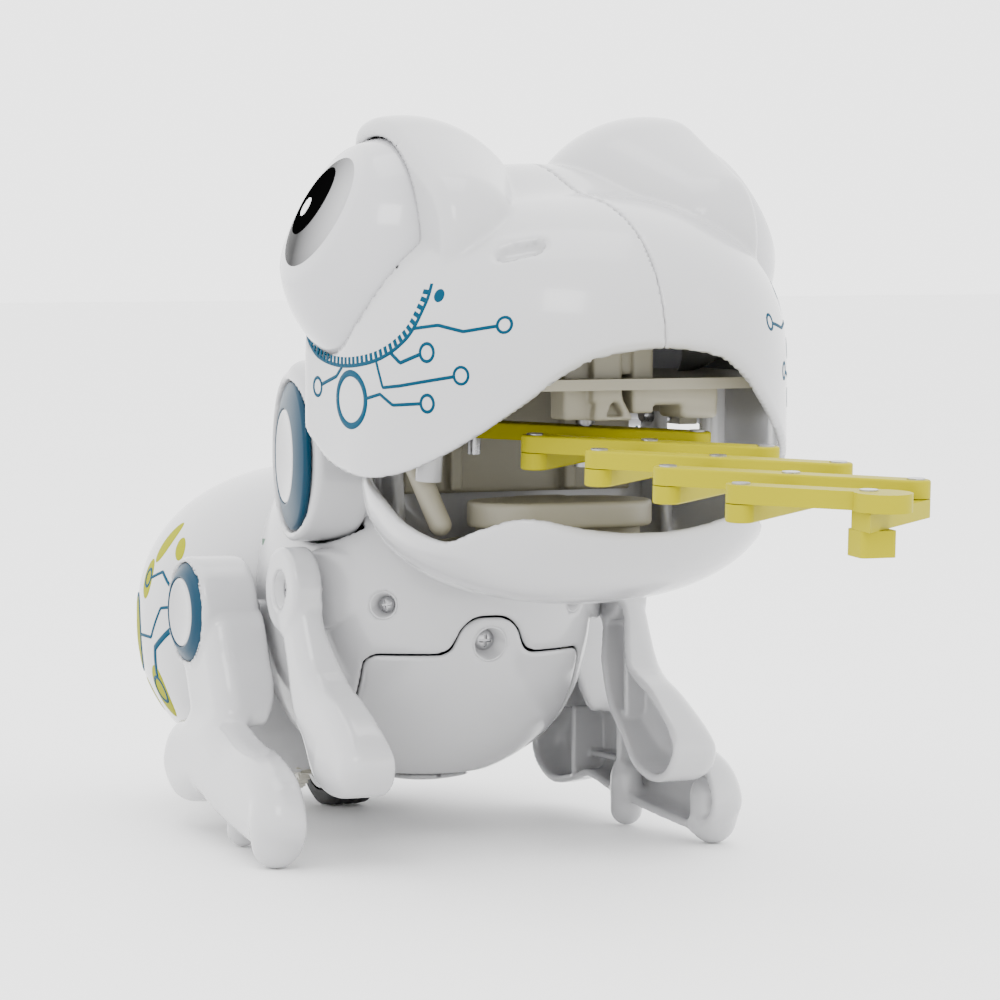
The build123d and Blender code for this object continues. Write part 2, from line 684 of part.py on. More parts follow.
# ---- Power: three AA cells across the belly, their tray and contacts ----
cell_places = [
    (TORSO_Y + CELL_ORBIT * cos(radians(a)), TORSO_Z + CELL_ORBIT * sin(radians(a))) for a in CELL_ANGLES
]
cells = [rod(AA_R, (-AA_LENGTH / 2, y, z), (AA_LENGTH / 2, y, z)) for y, z in cell_places]
save(Compound(children=cells), "battery_cells")
contacts = [
    Pos(s * (AA_LENGTH / 2 + 0.5), y, z) * Box(0.6, 9, 9) for s in (-1, 1) for y, z in cell_places
]
save(Compound(children=contacts), "battery_contacts")
with BuildPart() as battery_tray:
    for side in (-1, 1):
        with BuildSketch(Plane.YZ.offset(side * (AA_LENGTH / 2 + 1.65) - 0.8)):
            with Locations(*cell_places):
                Circle(6.6)
            with Locations((41, 48)):
                Rectangle(20, 15)
        extrude(amount=1.6)
    with Locations((0, 46.5, 50)):
        Box(AA_LENGTH + 3, 8, 5)
save(battery_tray.part, "battery_tray")

# ---- Drive: motor, gear pair, axle and wheel ----
GEAR_STEP = MODULE * (GEAR_TEETH + PINION_TEETH) / 2


def spur_gear(teeth, centre, phase, width):
    """A spur gear with plain tapered teeth, turning about X."""
    pitch = MODULE * teeth / 2
    root = pitch - 1.25 * MODULE
    tip = pitch + 0.8 * MODULE
    foot = 0.5 * MODULE * 1.5
    crest = 0.5 * MODULE * 0.6
    with BuildPart() as gear:
        with BuildSketch(Plane.YZ.offset(GEAR_X - width / 2)):
            with Locations(centre):
                Circle(root)
            for index in range(teeth):
                turn = radians(phase + 360 * index / teeth)
                corners = [(root - 0.2, -foot), (tip, -crest), (tip, crest), (root - 0.2, foot)]
                with BuildLine():
                    Polyline(*[
                        (centre[0] + r * cos(turn) - t * sin(turn), centre[1] + r * sin(turn) + t * cos(turn))
                        for r, t in corners
                    ], close=True)
                make_face()
        extrude(amount=width)
    return gear.part


pinion_angle = 105.0
pinion_centre = (
    WHEEL[0] + GEAR_STEP * cos(radians(pinion_angle)),
    WHEEL[1] + GEAR_STEP * sin(radians(pinion_angle)),
)
gear_phase = pinion_angle
pinion_phase = pinion_angle + 180 + 180 / PINION_TEETH

with BuildPart() as axle_gear:
    add(spur_gear(GEAR_TEETH, WHEEL, gear_phase, GEAR_W))
    add(rod(1.5, (-30, *WHEEL), (30, *WHEEL)), mode=Mode.SUBTRACT)
save(axle_gear.part, "axle_gear")
with BuildPart() as motor_pinion:
    add(spur_gear(PINION_TEETH, pinion_centre, pinion_phase, GEAR_W))
    add(rod(1.0, (GEAR_X - 5.9, *pinion_centre), (GEAR_X + 4.2, *pinion_centre)))
save(motor_pinion.part, "motor_pinion")
save(rod(1.5, (-19, *WHEEL), (17, *WHEEL)), "wheel_axle")

with BuildPart() as wheel_hub:
    with BuildSketch(Plane.YZ.offset(-WHEEL_W / 2)):
        with Locations(WHEEL):
            Circle(WHEEL_R - 4)
            Circle(1.5, mode=Mode.SUBTRACT)
    extrude(amount=WHEEL_W)
    for offset_x in (-WHEEL_W / 2, WHEEL_W / 2 - 3.5):
        with BuildSketch(Plane.YZ.offset(offset_x)):
            with Locations(WHEEL):
                Circle(WHEEL_R - 6)
                Circle(4, mode=Mode.SUBTRACT)
        extrude(amount=3.5, mode=Mode.SUBTRACT)
save(wheel_hub.part, "wheel_hub")
with BuildPart() as wheel_tyre:
    with BuildSketch(Plane.XY.offset(WHEEL[1])):
        with Locations((0, WHEEL[0] + WHEEL_R - 2)):
            RectangleRounded(WHEEL_W, 4, 1.2)
    revolve(axis=Axis((0, *WHEEL), (1, 0, 0)))
save(wheel_tyre.part, "wheel_tyre")

with BuildPart() as gearbox_frame:
    for plate_x in (-18, -9.5, 14):
        with BuildSketch(Plane.YZ.offset(plate_x - 0.8)):
            with Locations((WHEEL[0] - 3, 27)):
                Rectangle(30, 30)
            with Locations(WHEEL):
                Circle(1.5 + RUN, mode=Mode.SUBTRACT)
            if plate_x < 0:
                with Locations(pinion_centre):
                    Circle(1.0 + RUN, mode=Mode.SUBTRACT)
        extrude(amount=1.6)
    with Locations((-2, WHEEL[0] - 3, 40)):
        Box(33.6, 30, 4)
save(gearbox_frame.part, "gearbox_frame")

with BuildPart() as drive_motor:
    with Locations((-27, *pinion_centre)):
        Cylinder(6, 16, rotation=(0, 90, 0))
    with Locations((-36, *pinion_centre)):
        Cylinder(2, 2, rotation=(0, 90, 0))
save(drive_motor.part, "drive_motor")

# ---- Electronics ----
with BuildPart() as main_board:
    with Locations((0, 54, 72)):
        Box(72.2, 24, 1.6)
    for x, y, w, d, h in ((0, 56, 12, 12, 2.0), (-18, 50, 6, 5, 1.5), (18, 60, 5, 8, 4.0)):
        with Locations((x, y, 72.8 + h / 2)):
            Box(w, d, h)
save(main_board.part, "main_board")
with BuildPart() as speaker:
    with Locations((0, RUMP_Y, 83.2)):
        Cylinder(16, 5)
    with Locations((0, RUMP_Y, 78.2)):
        Cylinder(8, 5)
save(speaker.part, "speaker")
with BuildPart() as power_switch:
    with Locations((-2.5, 156.2, 40)):
        Box(5, 6, 5)
save(power_switch.part, "power_switch")
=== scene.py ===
"""Looks for the toy lizard robot: smooth moulded shells, printed decoration, materials and studio.

Lengths in this script are millimetres from the body datum, as in the part's own drawing;
place() turns them into the frame's metres. The left side is drawn and mirrored to the right.
"""

import json
import math

import bpy
import numpy as np
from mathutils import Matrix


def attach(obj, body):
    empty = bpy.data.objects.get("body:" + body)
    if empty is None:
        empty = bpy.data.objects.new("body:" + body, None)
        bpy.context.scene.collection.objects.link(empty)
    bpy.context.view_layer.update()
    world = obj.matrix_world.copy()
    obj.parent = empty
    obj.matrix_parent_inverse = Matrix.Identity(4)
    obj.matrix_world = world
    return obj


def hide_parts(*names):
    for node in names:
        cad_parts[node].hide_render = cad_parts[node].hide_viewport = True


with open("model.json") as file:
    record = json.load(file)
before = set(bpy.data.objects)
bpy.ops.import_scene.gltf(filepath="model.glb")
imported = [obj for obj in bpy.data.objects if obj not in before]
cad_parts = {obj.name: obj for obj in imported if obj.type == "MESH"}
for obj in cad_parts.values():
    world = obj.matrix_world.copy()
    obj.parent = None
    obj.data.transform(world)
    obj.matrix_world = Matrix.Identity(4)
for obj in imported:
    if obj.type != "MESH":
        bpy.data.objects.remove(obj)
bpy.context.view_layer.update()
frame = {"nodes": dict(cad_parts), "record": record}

# ---- Driving dimensions ----
DATUM_Y = 20.0              # the body datum sits this far behind the frame's origin
SHELL = 2.2                 # moulded wall
SPLIT = 0.04                # half the gap where two half shells meet

EYE = np.array((36.0, -18.0, 145.0))
EYE_AXIS = np.array((math.cos(math.radians(28)), 0.0, math.sin(math.radians(28))))
EYE_R = 28.3
EYE_SHIFT = -4.2            # the dome's centre lies this far out along its axis
EYE_FRONT = 20.7            # and its flattened front this far
IRIS_R = 14.2
PUPIL_R = 9.0
PUPIL_OFF = (4.2, 2.4)      # the pupil sits behind and above the iris centre
# painted highlight: offset and size of a white spot that stands in for a lamp's reflection on the eye
GLINT_OFF = (5.0, 0.4)
GLINT_R = 2.4

HOOD_MOUTH = 39.0           # the hood is cut open beyond this |x|
NECK = (33.0, 95.0)         # y, z of the nod axis
NECK_R = 20.6
JAW_PIVOT = (-14.0, 106.0)
SHOULDER = (26.0, 63.3)
HIP = (68.0, 55.0)
TORSO = (0.0, 50.0, 58.0)
TORSO_R = 45.0
RUMP = (0.0, 110.0, 48.0)
RUMP_RADII = (50.5, 48.8, 41.0)
WHEEL = (106.0, 16.0)
FOOT_SPLAY = 4.0            # degrees outwards
FOOT_PIVOT = (50.0, 68.0)   # about this x, y

LIP = [(-100, 129), (-90, 122), (-80, 110), (-68, 101), (-54, 95.5), (-38, 94), (-20, 96.5), (-7, 102)]
JAW_RIM = [
    (-92, 80), (-84, 82.5), (-78, 86.5), (-70, 84), (-59, 80.6), (-47, 84), (-36, 90), (-20, 94), (2, 95),
]
ARM_OUTLINE = [
    (19.5, 62.5), (8.0, 44.5), (-6.0, 38.0), (-18.0, 31.0), (-21.8, 26.0), (-18.0, 20.0),
    (-9.0, 17.8), (3.0, 21.0), (12.0, 27.5), (18.0, 32.5), (21.0, 38.0), (23.0, 44.0),
    (25.5, 50.0), (28.5, 56.0), (31.5, 62.0),
]
THIGH_OUTLINE = [
    (57.0, 56.0), (49.5, 44.0), (45.5, 36.0), (44.5, 28.0), (52.0, 20.0), (64.0, 22.0), (72.0, 36.0),
    (76.0, 50.0),
]
FOOT_OUTLINE = [
    (48.0, 30.0), (30.0, 26.5), (12.0, 24.5), (-2.0, 20.0), (-8.0, 12.5), (-6.0, 6.5), (2.0, 4.0),
    (22.0, 5.5), (41.0, 8.0), (56.0, 11.0), (64.0, 9.3), (76.0, 7.6), (85.0, 12.0), (86.5, 19.0),
    (80.0, 26.0), (68.0, 28.5),
]


def place(points):
    """Datum millimetres to frame metres."""
    return (np.asarray(points, float) + (0.0, DATUM_Y, 0.0)) / 1000.0


# ---- Distance fields ----
def join(a, b, blend=0.0):
    """Union of two fields with a fillet of about half of blend."""
    if not blend:
        return np.minimum(a, b)
    overlap = np.maximum(blend - np.abs(a - b), 0.0) / blend
    return np.minimum(a, b) - overlap**2 * blend / 4.0


def meet(a, b, blend=0.0):
    """What two fields share, with its edge rounded."""
    return -join(-a, -b, blend)


def sphere(x, y, z, centre, radius):
    cx, cy, cz = centre
    return np.sqrt((x - cx) ** 2 + (y - cy) ** 2 + (z - cz) ** 2) - radius


def superellipsoid(x, y, z, radii, power):
    """A rounded block about the origin; power 2 is an ellipsoid."""
    rx, ry, rz = radii
    a, b, c = np.abs(x / rx), np.abs(y / ry), np.abs(z / rz)
    level = np.maximum(a**power + b**power + c**power, 1e-9) ** (1.0 / power)
    parts = ((a, rx), (b, ry), (c, rz))
    slope = np.sqrt(sum((share ** (power - 1) / radius) ** 2 for share, radius in parts))
    return (level - 1.0) * level ** (power - 1) / np.maximum(slope, 1e-9)


def round_cone(x, y, z, start, end, start_radius, end_radius):
    """A tapered capsule between two points."""
    ax, ay, az = start
    bx, by, bz = (e - s for e, s in zip(end, start))
    length2 = bx * bx + by * by + bz * bz
    taper = start_radius - end_radius
    px, py, pz = x - ax, y - ay, z - az
    along = px * bx + py * by + pz * bz
    beyond = along - length2
    off = sum((p * length2 - b * along) ** 2 for p, b in ((px, bx), (py, by), (pz, bz)))
    k = np.sign(taper) * taper**2 * off
    flat = length2 - taper**2
    at_end = np.sqrt(off + beyond**2 * length2) / length2 - end_radius
    at_start = np.sqrt(off + along**2 * length2) / length2 - start_radius
    side = (np.sqrt(off * flat / length2) + along * taper) / length2 - start_radius
    result = np.where(np.sign(along) * flat * along**2 * length2 < k, at_start, side)
    return np.where(np.sign(beyond) * flat * beyond**2 * length2 > k, at_end, result)


def bar(x, y, z, centre, half, corner=0.5):
    """A box with rounded edges."""
    d = [np.abs(v - c) - h + corner for v, c, h in zip((x, y, z), centre, half)]
    outside = np.sqrt(sum(np.maximum(v, 0.0) ** 2 for v in d))
    return outside + np.minimum(np.maximum(np.maximum(d[0], d[1]), d[2]), 0.0) - corner


def disc_x(x, y, z, centre, radius, near, far, blend=1.0):
    """A round pad about an axis along X between two stations, its edges rounded."""
    ring = np.sqrt((y - centre[0]) ** 2 + (z - centre[1]) ** 2) - radius
    return meet(meet(ring, x - far, blend), near - x, blend)


def curve_through(points, closed, steps=8):
    """A smooth curve through the points of an outline."""
    p = np.array(points, float)
    count = len(p) if closed else len(p) - 1
    result = []
    for i in range(count):
        if closed:
            a, b, c, d = (p[(i + k) % len(p)] for k in (-1, 0, 1, 2))
        else:
            a, b, c, d = (p[min(max(i + k, 0), len(p) - 1)] for k in (-1, 0, 1, 2))
        for t in np.arange(steps) / steps:
            result.append(0.5 * (2 * b + (c - a) * t + (2 * a - 5 * b + 4 * c - d) * t**2
                                 + (3 * b - a - 3 * c + d) * t**3))
    if not closed:
        result.append(p[-1])
    return np.array(result)


def outline_field(y, z, outline):
    """Signed distance in the (y, z) plane to a closed outline."""
    y, z = np.broadcast_arrays(y, z)
    nearest = np.full(y.shape, 1e9)
    inside = np.zeros(y.shape, bool)
    for (y0, z0), (y1, z1) in zip(outline, np.roll(outline, -1, axis=0)):
        ey, ez = y1 - y0, z1 - z0
        t = np.clip(((y - y0) * ey + (z - z0) * ez) / max(ey * ey + ez * ez, 1e-9), 0.0, 1.0)
        nearest = np.minimum(nearest, (y - y0 - ey * t) ** 2 + (z - z0 - ez * t) ** 2)
        crosses = (z0 > z) != (z1 > z)
        inside ^= crosses & (y < (ey * (z - z0) / (ez if ez else 1e-9) + y0))
    return np.where(inside, -1.0, 1.0) * np.sqrt(nearest)


# ---- Meshes from fields ----
def gradient(field, p, h=0.04):
    """Slope of a field at each point."""
    columns = []
    for axis in range(3):
        shift = np.zeros(3)
        shift[axis] = h
        columns.append((field(*(p + shift).T) - field(*(p - shift).T)) / (2 * h))
    return np.stack(columns, 1)


def surface(field, low, high, step):
    """Vertices and quads of the field's zero surface, settled onto it."""
    axes = [np.arange(a - 1.5 * step, b + 2.5 * step, step) for a, b in zip(low, high)]
    shape = tuple(len(a) for a in axes)
    values = np.broadcast_to(field(*np.ix_(*axes)), shape)
    inside = values < 0
    cell = tuple(n - 1 for n in shape)
    corners = [(i, j, k) for i in (0, 1) for j in (0, 1) for k in (0, 1)]

    def corner(array, offset):
        return array[tuple(slice(o, o + n) for o, n in zip(offset, cell))]

    filled = sum(corner(inside, c).astype(np.int8) for c in corners)
    active = (filled > 0) & (filled < 8)
    where = np.argwhere(active)
    total = np.zeros((len(where), 3))
    hits = np.zeros(len(where))
    for a in corners:
        for axis in range(3):
            if a[axis]:
                continue
            b = tuple(1 if i == axis else v for i, v in enumerate(a))
            va, vb = corner(values, a)[active], corner(values, b)[active]
            cut = (va < 0) != (vb < 0)
            t = np.where(cut, va / np.where(cut, va - vb, 1.0), 0.0)
            point = np.array(a, float) + np.outer(t, np.eye(3)[axis])
            total += point * cut[:, None]
            hits += cut
    origin = np.array([a[0] for a in axes])
    points = origin + (where + total / hits[:, None]) * step
    for _ in range(3):
        slope = gradient(field, points)
        move = field(*points.T)[:, None] * slope / np.maximum((slope**2).sum(1), 0.05)[:, None]
        points = points - np.clip(move, -0.4 * step, 0.4 * step)

    index = np.full(cell, -1)
    index[active] = np.arange(len(where))
    quads = []
    for axis in range(3):
        first, second = [a for a in range(3) if a != axis]
        size = [n - 2 for n in shape]
        size[axis] = shape[axis] - 1
        starts = [0 if a == axis else 1 for a in range(3)]
        low_side = inside[tuple(slice(starts[a], starts[a] + size[a]) for a in range(3))]
        high_side = inside[tuple(slice(1, 1 + size[a]) for a in range(3))]
        at = np.argwhere(low_side != high_side)
        outward = low_side[low_side != high_side]
        ring = []
        for u, v in ((0, 0), (1, 0), (1, 1), (0, 1)):
            shift = np.zeros(3, int)
            shift[first], shift[second] = u, v
            ring.append(index[tuple((at + shift).T)])
        quad = np.stack(ring, 1)
        flip = outward if axis != 1 else ~outward
        quad[~flip] = quad[~flip][:, ::-1]
        quads.append(quad)
    return points, np.concatenate(quads)


def mesh_object(name, points, faces, material, mirrored=False):
    """A smooth-shaded object in the frame from datum millimetres."""
    points = np.array(points, float)
    faces = [list(map(int, f)) for f in faces]
    if mirrored:
        points = points * (-1.0, 1.0, 1.0)
        faces = [f[::-1] for f in faces]
    mesh = bpy.data.meshes.new(name)
    mesh.from_pydata(place(points).tolist(), [], faces)
    mesh.update()
    mesh.shade_smooth()
    mesh.materials.append(material)
    made = bpy.data.objects.new(name, mesh)
    bpy.context.collection.objects.link(made)
    return made


def dress(obj, body, nodes=()):
    """Attach a piece to its body and hide the CAD nodes it stands for."""
    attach(obj, body)
    if nodes:
        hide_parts(*nodes)
    return obj


def pair(name, points, faces, material, bodies, nodes=()):
    """The left piece and its mirrored right twin. bodies and nodes are named without their side."""
    for side in ("left", "right"):
        twin = mesh_object(f"{name}_{side}", points, faces, material, mirrored=side == "right")
        body = bodies.format(side=side)
        dress(twin, body, tuple(n.format(side=side) for n in nodes))


# ---- Materials ----
def plastic(name, colour, second, roughness, spread, bump,
            grain=90.0, coat=0.0, metallic=0.0, specular=0.5):
    """Moulded or painted surface: a slow tint drift, uneven gloss and a fine relief."""
    material = bpy.data.materials.new(name)
    material.use_nodes = True
    nodes, links = material.node_tree.nodes, material.node_tree.links
    shader = nodes["Principled BSDF"]
    place_node = nodes.new("ShaderNodeTexCoord")
    drift = nodes.new("ShaderNodeTexNoise")
    drift.inputs["Scale"].default_value = 14.0
    drift.inputs["Detail"].default_value = 3.0
    tint = nodes.new("ShaderNodeValToRGB")
    tint.color_ramp.elements[0].position = 0.32
    tint.color_ramp.elements[0].color = (*second, 1)
    tint.color_ramp.elements[1].position = 0.68
    tint.color_ramp.elements[1].color = (*colour, 1)
    fine = nodes.new("ShaderNodeTexNoise")
    fine.inputs["Scale"].default_value = grain
    fine.inputs["Detail"].default_value = 5.0
    gloss = nodes.new("ShaderNodeMapRange")
    gloss.inputs["To Min"].default_value = roughness - spread
    gloss.inputs["To Max"].default_value = roughness + spread
    relief = nodes.new("ShaderNodeBump")
    relief.inputs["Strength"].default_value = bump
    relief.inputs["Distance"].default_value = 0.0004
    links.new(place_node.outputs["Object"], drift.inputs["Vector"])
    links.new(place_node.outputs["Object"], fine.inputs["Vector"])
    links.new(drift.outputs["Fac"], tint.inputs["Fac"])
    links.new(tint.outputs["Color"], shader.inputs["Base Color"])
    links.new(fine.outputs["Fac"], gloss.inputs["Value"])
    links.new(gloss.outputs["Result"], shader.inputs["Roughness"])
    links.new(fine.outputs["Fac"], relief.inputs["Height"])
    links.new(relief.outputs["Normal"], shader.inputs["Normal"])
    shader.inputs["Metallic"].default_value = metallic
    shader.inputs["Specular IOR Level"].default_value = specular
    shader.inputs["Coat Weight"].default_value = coat
    shader.inputs["Coat Roughness"].default_value = 0.06
    return material


WHITE = plastic("white_shell", (0.43, 0.43, 0.438), (0.405, 0.405, 0.415), 0.2, 0.05, 0.05, coat=0.35)
CREAM = plastic("cream_frame", (0.36, 0.335, 0.255), (0.31, 0.29, 0.22), 0.42, 0.08, 0.12)
BLUE = plastic("blue_ring", (0.0, 0.03, 0.06), (0.0, 0.025, 0.05), 0.35, 0.05, 0.05, specular=0.15)
TEAL = plastic("teal_print", (0.0, 0.045, 0.085), (0.0, 0.037, 0.07), 0.55, 0.06, 0.05, specular=0.05)
LIME = plastic("lime_print", (0.25, 0.26, 0.0), (0.22, 0.23, 0.0), 0.55, 0.06, 0.05, specular=0.03)
TONGUE = plastic("lime_tongue", (0.32, 0.285, 0.0), (0.28, 0.25, 0.0), 0.45, 0.07, 0.08, specular=0.06)
EYE_WHITE = plastic("eye_white", (0.43, 0.43, 0.445), (0.41, 0.41, 0.425), 0.16, 0.04, 0.03, coat=0.5)
PUPIL = plastic("pupil_black", (0.001, 0.001, 0.001), (0.002, 0.002, 0.002), 0.5, 0.05, 0.02, specular=0.0)
# painted highlight: near-white colour of the spot that stands in for a reflection on the eye
PAINTED_GLINT = plastic("glint_white", (0.85, 0.85, 0.86), (0.8, 0.8, 0.82), 0.25, 0.05, 0.02)
STEEL = plastic("steel", (0.42, 0.42, 0.43), (0.32, 0.32, 0.33), 0.3, 0.1, 0.2, grain=400, metallic=1.0)
RUBBER = plastic("rubber_black", (0.012, 0.012, 0.012), (0.02, 0.02, 0.02), 0.7, 0.12, 0.5, grain=260)
NYLON = plastic("nylon_gear", (0.72, 0.70, 0.62), (0.66, 0.64, 0.56), 0.4, 0.08, 0.1)
CELL = plastic("cell_jacket", (0.03, 0.03, 0.035), (0.05, 0.05, 0.055), 0.3, 0.08, 0.06)
BOARD = plastic("board_green", (0.01, 0.09, 0.035), (0.008, 0.07, 0.03), 0.4, 0.1, 0.3, grain=300)
DARK = plastic("speaker_black", (0.015, 0.015, 0.015), (0.025, 0.025, 0.025), 0.5, 0.1, 0.2)
SLOT_MATERIAL = {
    "white_shell": WHITE, "cream_frame": CREAM, "blue_ring": BLUE, "eye_white": EYE_WHITE,
    "pupil_black": PUPIL, "lime_tongue": TONGUE, "steel": STEEL, "rubber_black": RUBBER,
    "nylon_gear": NYLON, "cell_jacket": CELL, "board_green": BOARD, "speaker_black": DARK,
}
for subpart in frame["record"]["subparts"]:
    node = frame["nodes"][subpart["node"]]
    node.data.materials.clear()
    node.data.materials.append(SLOT_MATERIAL[subpart["material_slot"]])


# ---- Head shells ----
HOOD_BACK = (31.0, -15.0, 146.2)
HOOD_FRONT = (32.0, -46.0, 147.5)
mouth_cut = np.vstack([curve_through(LIP, False), [(-3, 104), (30, 104), (30, 60), (-110, 60), (-110, 129)]])


def head_outer(x, y, z):
    """The head without its hollows: snout, crown and the hoods over the eyes."""
    x = np.abs(x)
    plan = np.hypot(x / 51.5, np.minimum(y + 32.0, 0.0) / 62.0) * 62.0
    snout = superellipsoid(0.0, plan, np.maximum(z - 118.0, 0.0), (62.0, 62.0, 40.5), 2.5)
    crown = superellipsoid(x, y + 16.0, z - 125.0, (36.0, 36.0, 40.0), 2.3)
    hood = round_cone(x, y, z, HOOD_BACK, HOOD_FRONT, 30.0, 16.5)
    hood = meet(hood, x - HOOD_MOUTH, 3.0)
    whole = join(join(snout, crown, 8.0), hood, 0.8)
    return meet(whole, y, 8.0)


def head_shell(x, y, z):
    """The left half of the head's shell, open below the lip and round the eye."""
    outer = head_outer(x, y, z)
    shell = meet(outer, -(outer + SHELL), 0.8)
    shell = meet(shell, -outline_field(y, z, mouth_cut), 1.0)
    behind = -16.6 - (x - EYE[0]) * EYE_AXIS[0] - (z - EYE[2]) * EYE_AXIS[2]
    socket = np.maximum(sphere(x, y, z, EYE + EYE_AXIS * EYE_SHIFT, EYE_R + 0.6), behind)
    shell = meet(shell, -socket, 0.5)
    return meet(shell, SPLIT - x, 0.3)


def head_shell_right(x, y, z):
    """The right half, mirrored, with the sensor's slanted recess beside the seam."""
    spot = np.array((25.6, -71.9, 145.4))
    along = np.array((-0.88, -0.43, 0.19))
    offset = [v - c for v, c in zip((x, y, z), spot)]
    slide = np.clip(sum(o * a for o, a in zip(offset, along)), -3.4, 3.4)
    recess = np.sqrt(sum((o - a * slide) ** 2 for o, a in zip(offset, along))) - 3.1
    hollow = meet(head_shell(x, y, z), -recess, 0.8)
    skin = np.abs(recess) - 0.8
    cup = meet(skin, head_outer(x, y, z) + 0.3, 0.3)
    return join(hollow, cup, 0.3)


for side, field in (("left", head_shell), ("right", head_shell_right)):
    points, faces = surface(field, (0, -95, 92), (55, 1, 178), 1.0)
    half = mesh_object(f"Head_shell_{side}", points, faces, WHITE, mirrored=side == "right")
    dress(half, "head", (f"head_shell_{side}",))


# ---- Eyes ----
def lathe(name, profile, origin, axis, material, turns=96, mirrored=False):
    """A turned piece: profile is (distance along the axis, radius)."""
    axis = np.array(axis, float)
    side = np.cross(axis, (0.0, 1.0, 0.0))
    side /= np.linalg.norm(side)
    other = np.cross(axis, side)
    ring = [(math.cos(a), math.sin(a)) for a in np.arange(turns) * 2 * math.pi / turns]
    points = [np.array(origin) + axis * d + (side * c + other * s) * r for d, r in profile for c, s in ring]
    faces = []
    for row in range(len(profile) - 1):
        for i in range(turns):
            j = (i + 1) % turns
            faces.append((row * turns + i, (row + 1) * turns + i, (row + 1) * turns + j, row * turns + j))
    return mesh_object(name, points, faces, material, mirrored)


def eye_profile():
    """The eye dome's section: a sphere with a flatter front that carries the iris."""
    rows = []
    for degrees in np.arange(-24, 53, 3.0):
        a = math.radians(degrees)
        rows.append((EYE_SHIFT + EYE_R * math.sin(a), EYE_R * math.cos(a)))
    rows += [(eye_front(r), max(r, 0.01)) for r in np.arange(16.0, -0.1, -1.0)]
    return rows


def eye_front(radius):
    """How far out the eye's front is at a radius from its axis."""
    return EYE_FRONT - 2.6 * (radius / 16.5) ** 2


def painted_disc(name, off, radius, rise, material, mirrored):
    """A thin disc on the eye's front, its centre off to the rear and up: the printed iris and pupil, and the
    painted highlight.
    """
    rear = np.array((0.0, 1.0, 0.0))
    up = np.cross(rear, EYE_AXIS)
    up *= np.sign(up[2])
    a = np.arange(64) * 2 * math.pi / 64
    points, faces = [], []
    rings = [(1.0, -0.1)] + [(share, rise) for share in (0.985, 0.8, 0.6, 0.4, 0.2, 0.01)]
    for share, lift in rings:
        for t in a:
            p, q = off[0] + radius * share * math.cos(t), off[1] + radius * share * math.sin(t)
            points.append(EYE + EYE_AXIS * (eye_front(math.hypot(p, q)) + lift) + rear * p + up * q)
    for row in range(len(rings) - 1):
        for i in range(64):
            j = (i + 1) % 64
            faces.append((row * 64 + i, row * 64 + j, row * 64 + 64 + j, row * 64 + 64 + i))
    return mesh_object(name, points, faces, material, mirrored)


# The iris's grey with painted light: lighter towards the front and the top, where the light falls, and
# darker below and behind as painted shade.
iris = plastic("eye_iris_with_painted_light", (0.2, 0.2, 0.21), (0.17, 0.17, 0.18), 0.45, 0.05, 0.03, specular=0.05)
nodes, links = iris.node_tree.nodes, iris.node_tree.links
where = nodes.new("ShaderNodeTexCoord")
parts = nodes.new("ShaderNodeSeparateXYZ")
front = nodes.new("ShaderNodeMapRange")
front.inputs["From Min"].default_value = place(EYE)[1] + 0.008
front.inputs["From Max"].default_value = place(EYE)[1] - 0.0155
height = nodes.new("ShaderNodeMapRange")
height.inputs["From Min"].default_value = 0.139
height.inputs["From Max"].default_value = 0.172
mean = nodes.new("ShaderNodeMath")
mean.operation = "MULTIPLY_ADD"
mean.inputs[1].default_value = 0.25
# painted light and shade: near black at the rear and bottom, rising to a lighter grey at the front and top
iris_painted_light = nodes.new("ShaderNodeValToRGB")
for stop, level in zip(iris_painted_light.color_ramp.elements, (0.008, 0.36)):
    stop.color = (level, level, level * 1.02, 1)
iris_painted_light.color_ramp.elements[0].position = 0.3
iris_painted_light.color_ramp.elements[1].position = 1.0
links.new(where.outputs["Object"], parts.inputs["Vector"])
links.new(parts.outputs["Y"], front.inputs["Value"])
links.new(parts.outputs["Z"], height.inputs["Value"])
links.new(height.outputs["Result"], mean.inputs[0])
links.new(front.outputs["Result"], mean.inputs[2])
links.new(mean.outputs["Value"], iris_painted_light.inputs["Fac"])
links.new(iris_painted_light.outputs["Color"], nodes["Principled BSDF"].inputs["Base Color"])

for side, mirrored in (("left", False), ("right", True)):
    dome = lathe(f"Eye_dome_{side}", eye_profile(), EYE, EYE_AXIS, EYE_WHITE, mirrored=mirrored)
    dress(dome, f"eye_{side}", (f"eyeball_{side}",))
    ring = painted_disc(f"Eye_iris_{side}", (0.0, 0.0), IRIS_R, 0.08, iris, mirrored)
    dress(ring, f"eye_{side}")
    disc = painted_disc(f"Eye_pupil_{side}", PUPIL_OFF, PUPIL_R, 0.2, PUPIL, mirrored)
    dress(disc, f"eye_{side}", (f"pupil_{side}",))
    # a painted highlight: a white spot laid over the pupil in place of a lamp's reflection
    painted_glint = painted_disc(f"Eye_glint_{side}", GLINT_OFF, GLINT_R, 0.32, PAINTED_GLINT, mirrored)
    dress(painted_glint, f"eye_{side}")


# ---- Jaw ----
jaw_cut = np.vstack([curve_through(JAW_RIM, False), [(20, 95), (20, 140), (-120, 140), (-120, 80)]])


def jaw_outer(x, y, z):
    """The lower jaw's bowl without its hollow."""
    bowl = superellipsoid(x, y + 40.0, np.minimum(z - 92.0, 0.0), (46.5, 46.5, 28.0), 2.2)
    return meet(bowl, y + 4.0, 3.0)


